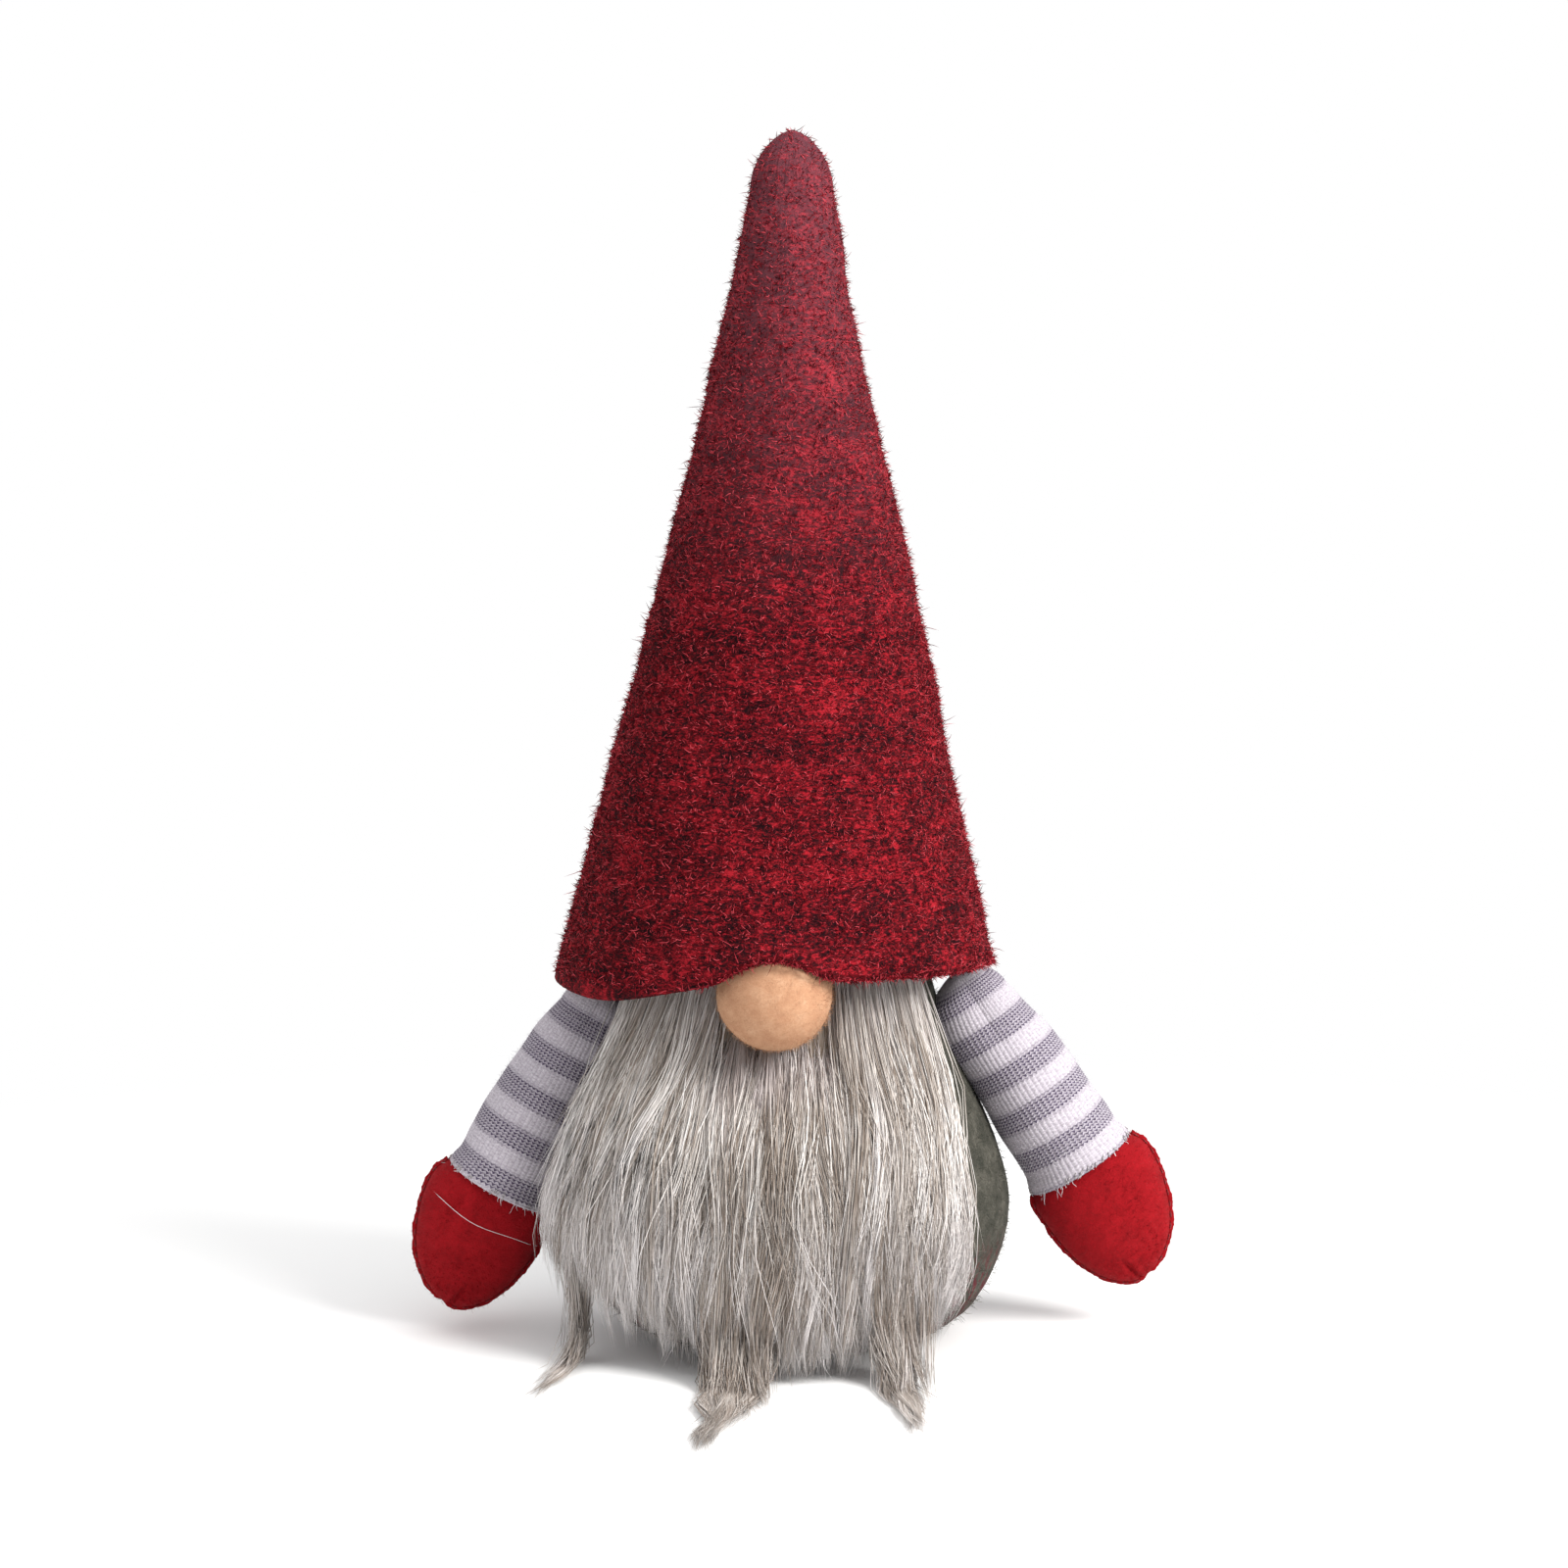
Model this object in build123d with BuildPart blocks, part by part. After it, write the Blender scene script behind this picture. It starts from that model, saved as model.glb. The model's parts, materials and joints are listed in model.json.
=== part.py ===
"""Tomte gnome figurine: a weighted felt sack with a fur beard, a felt-ball nose, two stuffed
knit arms with felt mittens, and a tall stuffed wool-felt cone hat.

Millimetres, +Z up, the front faces -Y, and +X is the viewer's right.  The origin is the centre
of the round base where it rests on the table.
"""

from build123d import *
import math
import os

# ---------------------------------------------------------------- driving dimensions
HEIGHT = 248.0                # table to hat tip
GAP = 0.2                     # play between soft pieces that lie inside each other

FELT = 1.5                    # body felt
BASE_RADIUS = 24.3            # round felt bottom, the face that rests on the table
BASE_FELT = 1.6
BOARD = 1.0                   # stiff card inside the base
SAND_TOP = 24.0               # the pouch of sand fills the sack to this height
POUCH = 0.5                   # cotton of the sand pouch

# body sack: height, half width (X), half depth (Y), shift of the section's centre in Y
BODY = [
    (0.0, 26.0, 26.0, 0.0),
    (2.5, 33.0, 33.0, 0.0),
    (7.0, 38.8, 38.8, 0.0),
    (15.0, 43.2, 43.0, 0.0),
    (25.0, 45.3, 44.8, 0.0),
    (36.0, 43.6, 43.8, 0.3),
    (47.0, 39.6, 41.0, 0.9),
    (58.0, 34.2, 37.4, 1.9),
    (67.0, 30.8, 34.4, 3.0),
    (76.0, 28.8, 32.0, 3.6),
    (86.0, 26.0, 29.0, 3.6),
    (95.0, 19.5, 21.5, 3.2),
    (101.0, 9.0, 10.0, 3.0),
]

# beard: height, half width and half depth of the outside of the pile
PILE = [
    (0.4, 47.0, 51.5),
    (8.0, 50.8, 53.0),
    (20.0, 53.0, 54.2),
    (35.0, 52.0, 54.0),
    (50.0, 48.0, 52.4),
    (66.0, 42.0, 49.0),
    (76.0, 38.5, 46.4),
    (84.0, 35.5, 43.2),
]
# where the longest hair lies forward on the table
TOE = [(0.4, 51.0, 61.0), (2.6, 50.5, 58.5), (5.0, 49.5, 54.5)]
PILE_HALF_ANGLE = 57.0        # the fur covers this much of the front, each side of the middle
BACKING = 1.4                 # knitted back of the fur
BACKING_WIDTH, BACKING_TOP, BACKING_DROP = 50.0, 87.0, 56.0
# longest locks on the table: root x, root y, tip x, tip y, root width
LOCKS = [
    (-14.0, -55.0, -18.0, -96.0, 12.0),
    (22.0, -52.0, 25.0, -84.0, 8.0),
    (-40.5, -33.0, -50.0, -70.0, 7.0),
]
LOCK_THICK = 2.2
LOCK_TIP = 2.0

NOSE_RADIUS = 11.6
NOSE_CENTRE = Vector(-3.2, -42.3, 76.4)

# hat
BRIM_CENTRE = Vector(-2.6, -6.0, 75.0)
BRIM_TILT = 4.5               # degrees: the front of the brim sits higher than the back
BRIM_ROLL = 2.0               # degrees: the brim sits lower on the left
HAT_TOP = Vector(0.4, 0.0, HEIGHT)
HAT_FELT = 2.4
HAT_BRIM_RADIUS = 45.3
HAT_NECK_RADIUS, HAT_NECK_Z = 12.7, 135.0      # end of the straight cone, above the brim
HAT_BEND_Z, HAT_BEND_HALF = 93.0, 20.0         # middle and half height of the zone that folds
BRIM_SCOOP_RADIUS, BRIM_SCOOP_Z = 13.0, 70.5   # the brim's edge lifts over the nose
STUFFING_FLOOR = 88.0         # hat stuffing starts above the beard's top

# arms: the shoulder is the centre of the sleeve's round end
SHOULDER = {"right": Vector(38.2, 0, 69.1), "left": Vector(-41.1, 0, 66.1)}
ARM_LEAN = {"right": 32.6, "left": 28.0}       # degrees from hanging straight down
SLEEVE_WALL = 0.9
SHOULDER_RADIUS, CUFF_RADIUS, SLEEVE_LENGTH = 6.8, 11.0, 39.4
UPPER_ARM = (9.7, 12.5)                         # the sleeve's radius, and how far down the arm
SHOULDER_THREAD_RADIUS = 1.2
SEAM_GAP = 0.8                # sleeve end to mitten edge, where the cuff thread lies
MITTEN_FELT = 1.1
FLANGE = 0.9                  # seam that stands out between the mitten's two halves
# mitten: distance from its opening, side shift, half width, half depth
MITTEN = [
    (0.0, 0.1, 11.2, 10.4),
    (3.0, 0.3, 12.9, 10.6),
    (8.5, 0.4, 13.2, 10.0),
    (14.5, 0.0, 12.2, 8.8),
    (19.5, -0.4, 10.5, 7.2),
    (23.5, -0.8, 8.0, 5.4),
    (26.3, -1.3, 5.0, 3.6),
    (28.0, -1.7, 1.9, 1.7),
]


# ---------------------------------------------------------------- shared shapes
def inset_rings(rings, inset):
    """The same sections moved inwards, square to the wall, by inset (outwards if negative)."""
    moved = []
    for i, (z, half_x, half_y, shift) in enumerate(rings):
        low, high = rings[max(i - 1, 0)], rings[min(i + 1, len(rings) - 1)]
        rise = high[0] - low[0]
        spread = (high[1] + high[2] - low[1] - low[2]) / 2
        slope = math.hypot(rise, spread)
        out, up = rise / slope, -spread / slope
        moved.append((z - inset * up, half_x - inset * out, half_y - inset * out, shift))
    return moved


def ring_solid(rings):
    """A closed solid through elliptical sections (height, half x, half y, shift in y)."""
    with BuildPart() as solid:
        for z, half_x, half_y, shift in rings:
            with BuildSketch(Plane.XY.offset(z)):
                with Locations((0, shift)):
                    Ellipse(half_x, half_y)
        loft()
    return solid.part


def body_solid(inset):
    """The sack's form, moved inwards by inset all over."""
    return ring_solid(inset_rings(BODY, inset))


def slab(low, high):
    """Everything between two heights, to cut a solid with."""
    with BuildPart() as block:
        with BuildSketch(Plane.XY.offset(low)):
            Rectangle(2 * HEIGHT, 2 * HEIGHT)
        extrude(amount=high - low)
    return block.part


def body_section(z):
    """Half width, half depth and shift of the body at a height, between its sections."""
    for low, high in zip(BODY, BODY[1:]):
        if low[0] <= z <= high[0]:
            share = (z - low[0]) / (high[0] - low[0])
            return [low[i] + share * (high[i] - low[i]) for i in (1, 2, 3)]
    raise ValueError(z)


def body_point(z, azimuth, out):
    """A point that stands out from the body's felt; azimuth is in degrees from +X."""
    half_x, half_y, shift = body_section(z)
    angle = math.radians(azimuth)
    return Vector((half_x + out) * math.cos(angle), shift + (half_y + out) * math.sin(angle), z)


def axial(plane):
    """The plane through another's axis: its X stays, and its Y runs along that axis."""
    return Plane(origin=plane.origin, x_dir=plane.x_dir, z_dir=-plane.y_dir)


def axis_of(plane):
    return Axis(plane.origin, plane.z_dir)


def thread(start, end, radius):
    """A round thread from one point to another."""
    with BuildPart() as length:
        with BuildSketch(Plane(origin=start, z_dir=end - start)):
            Circle(radius)
        extrude(amount=(end - start).length)
    return length.part


def thread_ring(plane, radius, height, thread_radius):
    """A ring of thread round a plane's axis."""
    with BuildPart() as ring:
        with BuildSketch(axial(plane)):
            with Locations((radius, height)):
                Circle(thread_radius)
        revolve(axis=axis_of(plane))
    return ring.part


os.makedirs("parts", exist_ok=True)


def write(builder, label):
    """Label a finished piece, write its STEP file and print its size."""
    builder.part.label = label
    export_step(builder.part, f"parts/{label}.step")
    box = builder.part.bounding_box()
    print(f"{label:26s} solids {len(builder.part.solids())} volume {builder.part.volume:9.1f} "
          f"z {box.min.Z:6.1f}..{box.max.Z:6.1f}")


# ---------------------------------------------------------------- body sack
body_outside = body_solid(0)
body_inside = body_solid(FELT)
body_filling = body_solid(FELT + GAP)
body_top, body_top_shift = BODY[-1][0], BODY[-1][3]
opening_radius = BASE_RADIUS + 0.9

with BuildPart() as body_shell:
    add(body_outside)
    add(body_inside, mode=Mode.SUBTRACT)
    with BuildSketch(Plane.XY.offset(-1)):
        Circle(opening_radius)
    extrude(amount=4, mode=Mode.SUBTRACT)
    with BuildSketch(Plane.XY.offset(body_top - 5)):
        with Locations((0, body_top_shift)):
            Circle(1.5)
    extrude(amount=10, mode=Mode.SUBTRACT)
write(body_shell, "body_shell")

with BuildPart() as base_disc:
    with BuildSketch():
        Circle(BASE_RADIUS)
    extrude(amount=BASE_FELT)
write(base_disc, "base_disc")

base_seam = thread_ring(Plane.XY, (BASE_RADIUS + opening_radius) / 2, 0.9, 0.3)
with BuildPart() as base_seam_thread:
    add(base_seam)
write(base_seam_thread, "base_seam_thread")

board_low = BASE_FELT + GAP
with BuildPart() as base_board:
    with BuildSketch(Plane.XY.offset(board_low)):
        Circle(BASE_RADIUS - 0.3)
    extrude(amount=BOARD)
write(base_board, "base_board")

pouch_low = board_low + BOARD + GAP
pouch_form = slab(pouch_low, SAND_TOP)
pouch_hollow = body_solid(FELT + GAP + POUCH) & slab(pouch_low + POUCH, SAND_TOP - POUCH)
with BuildPart() as sand_pouch:
    add(body_filling)
    add(pouch_form, mode=Mode.INTERSECT)
    add(pouch_hollow, mode=Mode.SUBTRACT)
write(sand_pouch, "sand_pouch")

sand_form = body_solid(FELT + 2 * GAP + POUCH)
sand_layer = slab(pouch_low + POUCH + GAP, SAND_TOP - POUCH - GAP)
with BuildPart() as sand:
    add(sand_form)
    add(sand_layer, mode=Mode.INTERSECT)
write(sand, "sand")

above_sand = slab(SAND_TOP + GAP, HEIGHT)
with BuildPart() as body_stuffing:
    add(body_filling)
    add(above_sand, mode=Mode.INTERSECT)
write(body_stuffing, "body_stuffing")

gather_z = body_top + 0.6
gather = thread_ring(Plane.XY, 4.5, gather_z, 0.5)
with BuildPart() as gather_thread:
    add(gather)
write(gather_thread, "gather_thread")

# the sack's seam runs up its back
seam_heights = [10.0 + 5.5 * step for step in range(11)]
body_seam = [
    thread(body_point(z, 88.4, 0.85), body_point(z, 91.6, 0.85), 0.3) for z in seam_heights
]
with BuildPart() as body_seam_stitches:
    add(body_seam)
write(body_seam_stitches, "body_seam_stitches")

# ---------------------------------------------------------------- beard
backing_inside = body_solid(-GAP)
backing_outside = body_solid(-GAP - BACKING)
with BuildPart() as beard_backing:
    add(backing_outside)
    add(backing_inside, mode=Mode.SUBTRACT)
    with BuildSketch(Plane.XZ):
        with Locations((0, BACKING_TOP - BACKING_DROP / 2)):
            RectangleRounded(BACKING_WIDTH, BACKING_DROP, 12)
    extrude(amount=80, mode=Mode.INTERSECT)
write(beard_backing, "beard_backing")

stitch_z, stitch_out = BACKING_TOP - 1.4, GAP + BACKING + 0.75
backing_seam = [
    thread(
        body_point(stitch_z, azimuth, stitch_out),
        body_point(stitch_z, azimuth + 5, stitch_out),
        0.35,
    )
    for azimuth in range(236, 305, 11)
]
with BuildPart() as beard_stitches:
    add(backing_seam)
write(beard_stitches, "beard_stitches")

pile_outside = ring_solid([(z, a, b, 0) for z, a, b in PILE])
pile_toe = ring_solid([(z, a, b, 0) for z, a, b in TOE])
pile_inside = body_solid(-2 * GAP - BACKING)
with BuildPart() as front_wedge:
    side, reach = math.radians(PILE_HALF_ANGLE), HEIGHT / 2
    with BuildSketch(Plane.XY.offset(-1)):
        with BuildLine():
            Polyline(
                (0, 0),
                (-reach * math.sin(side), -reach * math.cos(side)),
                (0, -2 * reach),
                (reach * math.sin(side), -reach * math.cos(side)),
                close=True,
            )
        make_face()
    extrude(amount=HEIGHT)
with BuildPart() as beard_pile:
    add(pile_outside)
    add(pile_toe)
    add(pile_inside, mode=Mode.SUBTRACT)
    add(front_wedge.part, mode=Mode.INTERSECT)
    with Locations(NOSE_CENTRE):
        Sphere(NOSE_RADIUS + 0.3, mode=Mode.SUBTRACT)
    with BuildSketch(Plane.XZ.offset(-NOSE_CENTRE.Y)):
        with Locations((NOSE_CENTRE.X, NOSE_CENTRE.Z)):
            Circle(1.0)
    extrude(amount=-15, mode=Mode.SUBTRACT)
write(beard_pile, "beard_pile")

toe_low, toe_x, toe_y = TOE[0]
toe_block = ring_solid([(z, toe_x + GAP, toe_y + GAP, 0) for z in (-1, 6)])
with BuildPart() as beard_tips:
    for root_x, root_y, tip_x, tip_y, width in LOCKS:
        with BuildSketch(Plane.XY.offset(toe_low)):
            with BuildLine():
                Polyline(
                    (root_x - width / 2, root_y),
                    (root_x + width / 2, root_y),
                    (tip_x + LOCK_TIP / 2, tip_y),
                    (tip_x - LOCK_TIP / 2, tip_y),
                    close=True,
                )
            make_face()
        extrude(amount=LOCK_THICK)
    add(toe_block, mode=Mode.SUBTRACT)
write(beard_tips, "beard_tips")

# ---------------------------------------------------------------- nose
with BuildPart() as nose_ball:
    with Locations(NOSE_CENTRE):
        Sphere(NOSE_RADIUS)
write(nose_ball, "nose_ball")

nose_back = NOSE_CENTRE + Vector(0, NOSE_RADIUS + 0.1, 0)
nose_loop = thread(nose_back, nose_back + Vector(0, 0.5, 0), 0.6)
with BuildPart() as nose_thread:
    add(nose_loop)
write(nose_thread, "nose_thread")

# ---------------------------------------------------------------- hat
hat_plane = Plane(origin=BRIM_CENTRE, x_dir=(1, 0, 0), z_dir=HAT_TOP - BRIM_CENTRE)
hat_height = (HAT_TOP - BRIM_CENTRE).length
brim_normal = Vector(-math.tan(math.radians(BRIM_ROLL)), math.tan(math.radians(BRIM_TILT)), 1)
brim_plane = Plane(origin=BRIM_CENTRE, z_dir=brim_normal)
hat_slope = (HAT_BRIM_RADIUS - HAT_NECK_RADIUS) / HAT_NECK_Z
hat_wall_side = math.hypot(1, hat_slope)      # width of the wall across, for one of thickness
CONE_LOW = -12.0                              # the cone starts below the brim and is cut there
TIP_POINTS = [(9.9, 151.5), (7.3, 164.0)]     # radius and height above the brim


def hat_cone(inset):
    """The hat's outside, moved inwards square to its wall, closed below the brim."""
    low = HAT_BRIM_RADIUS - hat_slope * CONE_LOW - inset * hat_wall_side
    neck = HAT_NECK_RADIUS - inset * hat_wall_side
    top = hat_height - inset
    shoulders = [(radius - inset, height - inset / 3) for radius, height in TIP_POINTS]
    with BuildPart() as cone:
        with BuildSketch(axial(hat_plane)):
            with BuildLine():
                Line((0, CONE_LOW), (low, CONE_LOW))
                Line((low, CONE_LOW), (neck, HAT_NECK_Z))
                Spline((neck, HAT_NECK_Z), *shoulders, (0, top), tangents=[(-hat_slope, 1), (-1, 0)])
                Line((0, top), (0, CONE_LOW))
            make_face()
        revolve(axis=axis_of(hat_plane))
    return cone.part


with BuildPart() as brim_cutter:
    with BuildSketch(brim_plane):
        Rectangle(HEIGHT, HEIGHT)
    extrude(amount=-40)
    with BuildSketch(Plane.XZ):
        with Locations((NOSE_CENTRE.X, BRIM_SCOOP_Z)):
            Circle(BRIM_SCOOP_RADIUS)
    extrude(amount=80)

hat_outside = hat_cone(0)
hat_inside = hat_cone(HAT_FELT)
with BuildPart() as hat_wall:
    add(hat_outside)
    with Locations(NOSE_CENTRE):
        Sphere(NOSE_RADIUS + 0.4 + HAT_FELT)
    add(hat_inside, mode=Mode.SUBTRACT)
    with Locations(NOSE_CENTRE):
        Sphere(NOSE_RADIUS + 0.4, mode=Mode.SUBTRACT)
    add(brim_cutter.part, mode=Mode.SUBTRACT)

hat_core = hat_cone(HAT_FELT + GAP)
hat_floor = slab(STUFFING_FLOOR, HEIGHT + 10)
body_clearance = body_solid(-2 * GAP)
with BuildPart() as hat_filling:
    add(hat_core)
    add(hat_floor, mode=Mode.INTERSECT)
    add(body_clearance, mode=Mode.SUBTRACT)
    with BuildSketch(Plane.XY.offset(gather_z - 2)):
        Circle(6.0)
    extrude(amount=4, mode=Mode.SUBTRACT)
    with Locations(NOSE_CENTRE):
        Sphere(NOSE_RADIUS + 0.4 + HAT_FELT + GAP, mode=Mode.SUBTRACT)

# wall and stuffing in three zones: below, through and above the fold
zones = {
    "lower": (CONE_LOW, HAT_BEND_Z - HAT_BEND_HALF),
    "bend_zone": (HAT_BEND_Z - HAT_BEND_HALF + GAP, HAT_BEND_Z + HAT_BEND_HALF),
    "tip": (HAT_BEND_Z + HAT_BEND_HALF + GAP, hat_height + 5),
}
for zone, (low, high) in zones.items():
    with BuildPart() as zone_block:
        with BuildSketch(hat_plane.offset(low)):
            Rectangle(HEIGHT, HEIGHT)
        extrude(amount=high - low)
    with BuildPart() as wall:
        add(hat_wall.part)
        add(zone_block.part, mode=Mode.INTERSECT)
    write(wall, "hat_" + zone)
    with BuildPart() as filling:
        add(hat_filling.part)
        add(zone_block.part, mode=Mode.INTERSECT)
    write(filling, "hat_stuffing_" + zone)

# long stitches tack the brim's inside to the body round the back and sides
tack_z, tack_play = 79.5, 0.5
inner = HAT_BRIM_RADIUS - hat_slope * (tack_z - BRIM_CENTRE.Z) - HAT_FELT * hat_wall_side
tacks = []
for azimuth in (32, 52, 72, 92, 112, 132, 150):
    foot = body_point(tack_z, azimuth, tack_play)
    away = Vector(foot.X, foot.Y, 0).normalized()
    from_axis = Vector(foot.X - BRIM_CENTRE.X, foot.Y - BRIM_CENTRE.Y, 0)
    along = from_axis.dot(away)
    reach_wall = math.sqrt(inner**2 - from_axis.length**2 + along**2) - along
    tacks.append(thread(foot, foot + away * (reach_wall - tack_play), 0.4))
with BuildPart() as hat_tacking_stitches:
    add(tacks)
write(hat_tacking_stitches, "hat_tacking_stitches")

# the cone's seam runs up its back
hat_seam = []
for step in range(10):
    height = 8.0 + 6.5 * step
    seam_radius = HAT_BRIM_RADIUS - hat_slope * height + 0.55
    ends = [hat_plane.from_local_coords((x, seam_radius, height)) for x in (-1.1, 1.1)]
    hat_seam.append(thread(ends[0], ends[1], 0.3))
with BuildPart() as hat_seam_stitches:
    add(hat_seam)
write(hat_seam_stitches, "hat_seam_stitches")


# ---------------------------------------------------------------- arms
def arm_plane(side):
    """Origin at the shoulder, Z down the arm and X outwards across it."""
    sign = 1 if side == "right" else -1
    lean = math.radians(ARM_LEAN[side])
    return Plane(
        origin=SHOULDER[side],
        x_dir=(sign * math.cos(lean), 0, math.sin(lean)),
        z_dir=(sign * math.sin(lean), 0, -math.cos(lean)),
    )


def sleeve_solid(arm, inset, length):
    """A sleeve that widens from its round shoulder end to the cuff, cut off at a length."""
    shoulder, cuff = SHOULDER_RADIUS - inset, CUFF_RADIUS - inset
    upper = UPPER_ARM[0] - inset
    with BuildPart() as tube:
        with BuildSketch(axial(arm)):
            with BuildLine():
                CenterArc((0, 0), shoulder, -90, 90)
                Spline(
                    (shoulder, 0),
                    (upper, UPPER_ARM[1]),
                    (cuff, SLEEVE_LENGTH),
                    tangents=[(0.3, 1), (0.02, 1)],
                )
                Polyline((cuff, SLEEVE_LENGTH), (0, SLEEVE_LENGTH), (0, -shoulder))
            make_face()
        revolve(axis=axis_of(arm))
        with BuildSketch(arm.offset(length)):
            Circle(50)
        extrude(amount=50, mode=Mode.SUBTRACT)
    return tube.part


def mitten_solid(arm, inset, start=0.0):
    """The mitten's form, moved inwards by inset and cut off square at its opening end."""
    opening = SLEEVE_LENGTH + SEAM_GAP
    rings = inset_rings([(z, half_x, half_y, 0) for z, _, half_x, half_y in MITTEN], inset)
    with BuildPart() as hand:
        for (z, half_x, half_y, _), (_, shift, _, _) in zip(rings, MITTEN):
            with BuildSketch(arm.offset(opening + z)):
                with Locations((shift, 0)):
                    Ellipse(half_x, half_y)
        loft()
        with BuildSketch(arm.offset(opening + start)):
            Rectangle(80, 80)
        extrude(amount=-20, mode=Mode.SUBTRACT)
    return hand.part


def make_arm(side):
    """Write every piece of one arm."""
    arm = arm_plane(side)
    opening = SLEEVE_LENGTH + SEAM_GAP

    sleeve_outside = sleeve_solid(arm, 0, SLEEVE_LENGTH)
    sleeve_inside = sleeve_solid(arm, SLEEVE_WALL, 2 * SLEEVE_LENGTH)
    with BuildPart() as sleeve:
        add(sleeve_outside)
        add(sleeve_inside, mode=Mode.SUBTRACT)
    write(sleeve, side + "_sleeve")

    arm_filling = sleeve_solid(arm, SLEEVE_WALL + GAP, SLEEVE_LENGTH - GAP)
    with BuildPart() as arm_stuffing:
        add(arm_filling)
    write(arm_stuffing, side + "_arm_stuffing")

    cuff_ring = thread_ring(arm, CUFF_RADIUS - 0.8, SLEEVE_LENGTH + SEAM_GAP / 2, 0.3)
    with BuildPart() as cuff_thread:
        add(cuff_ring)
    write(cuff_thread, side + "_cuff_thread")

    form = mitten_solid(arm, 0)
    hollow = mitten_solid(arm, MITTEN_FELT)
    flange = mitten_solid(arm, -FLANGE, 2.0)
    for half, facing in (("front", 1), ("back", -1)):
        with BuildPart() as mitten:
            add(flange)
            with BuildSketch(Plane.XZ):
                Rectangle(2 * HEIGHT, 2 * HEIGHT)
            extrude(amount=FLANGE, both=True, mode=Mode.INTERSECT)
            add(form)
            add(hollow, mode=Mode.SUBTRACT)
            with BuildSketch(arm.offset(opening - 1)):
                Ellipse(MITTEN[0][2] - MITTEN_FELT, MITTEN[0][3] - MITTEN_FELT)
            extrude(amount=4, mode=Mode.SUBTRACT)
            with BuildSketch(axial(arm)):
                with Locations((-2.6, opening + MITTEN[-1][0])):
                    Rectangle(0.7, 5.0)
            extrude(amount=50, both=True, mode=Mode.SUBTRACT)
            with BuildSketch(Plane.XZ.offset(facing * GAP / 4)):
                Rectangle(2 * HEIGHT, 2 * HEIGHT)
            extrude(amount=facing * 40, mode=Mode.INTERSECT)
        write(mitten, f"{side}_mitten_{half}")

    hand_filling = mitten_solid(arm, MITTEN_FELT + GAP, 1.0)
    with BuildPart() as mitten_stuffing:
        add(hand_filling)
    write(mitten_stuffing, side + "_mitten_stuffing")

    # a loose loop of thread carries the arm, clear of the felt and of the sleeve
    shoulder = SHOULDER[side]
    outwards = Vector(math.copysign(1, shoulder.X), 0, 0)
    felt_reach = abs(shoulder.X) - body_section(shoulder.Z)[0] - 0.6
    felt_face = shoulder - outwards * felt_reach
    sleeve_face = shoulder - outwards * (SHOULDER_RADIUS + 0.15)
    shoulder_loop = thread(felt_face, sleeve_face, SHOULDER_THREAD_RADIUS)
    with BuildPart() as shoulder_thread:
        add(shoulder_loop)
    write(shoulder_thread, side + "_shoulder_thread")


for side in ("left", "right"):
    make_arm(side)
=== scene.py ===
"""The looks of a tomte gnome: wool-felt hat, fur beard, felt-ball nose, knit arms with felt
mittens and a weighted felt sack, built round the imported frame.  Lengths are in millimetres
until a mesh is made."""

import json
import math

import bpy
import numpy as np
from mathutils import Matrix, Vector
from mathutils.bvhtree import BVHTree


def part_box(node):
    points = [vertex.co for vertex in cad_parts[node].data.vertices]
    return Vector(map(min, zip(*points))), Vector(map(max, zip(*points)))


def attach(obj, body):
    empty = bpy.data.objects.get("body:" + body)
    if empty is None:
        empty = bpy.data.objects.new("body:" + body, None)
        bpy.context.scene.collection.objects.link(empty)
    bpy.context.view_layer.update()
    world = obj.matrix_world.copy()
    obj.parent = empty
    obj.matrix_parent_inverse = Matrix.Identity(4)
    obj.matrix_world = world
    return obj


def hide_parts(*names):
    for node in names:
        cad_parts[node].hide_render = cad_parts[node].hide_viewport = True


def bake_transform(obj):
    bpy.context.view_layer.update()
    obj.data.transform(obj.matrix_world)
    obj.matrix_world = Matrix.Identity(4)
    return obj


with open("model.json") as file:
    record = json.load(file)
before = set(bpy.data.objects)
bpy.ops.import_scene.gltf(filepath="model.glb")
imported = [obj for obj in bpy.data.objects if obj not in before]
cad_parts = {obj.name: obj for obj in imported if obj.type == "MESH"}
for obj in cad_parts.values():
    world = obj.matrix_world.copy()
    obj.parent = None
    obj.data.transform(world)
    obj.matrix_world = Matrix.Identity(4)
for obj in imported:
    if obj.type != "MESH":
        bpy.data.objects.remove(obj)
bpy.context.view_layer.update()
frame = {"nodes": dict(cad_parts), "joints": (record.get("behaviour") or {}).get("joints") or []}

MM = 0.001


# ------------------------------------------------------------------ camera and light, in metres
CAMERA_PLACE = Vector((-0.0014, -0.750, 0.180))
CAMERA_TARGET = Vector((-0.0014, 0.0, 0.1137))
LENS = 83.8
KEY_PLACE = (0.80, -0.62, 0.70)
KEY_TARGET = Vector((0, 0, 0.11))


def make_camera():
    data = bpy.data.cameras.new("camera")
    data.lens = LENS
    data.clip_start, data.clip_end = 0.05, 20.0
    camera = bpy.data.objects.new("camera", data)
    camera.location = CAMERA_PLACE
    camera.rotation_euler = (CAMERA_TARGET - CAMERA_PLACE).to_track_quat("-Z", "Y").to_euler()
    bpy.context.scene.collection.objects.link(camera)
    bpy.context.scene.camera = camera
    bpy.context.scene.view_settings.view_transform = "Standard"


def make_key_light():
    """A large soft light from the front right."""
    data = bpy.data.lights.new("key", "AREA")
    data.shape, data.size, data.energy = "DISK", 0.6, 20.0
    data.color = (1.0, 0.99, 0.97)
    light = bpy.data.objects.new("key", data)
    light.location = KEY_PLACE
    light.rotation_euler = (KEY_TARGET - light.location).to_track_quat("-Z", "Y").to_euler()
    bpy.context.scene.collection.objects.link(light)


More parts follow.
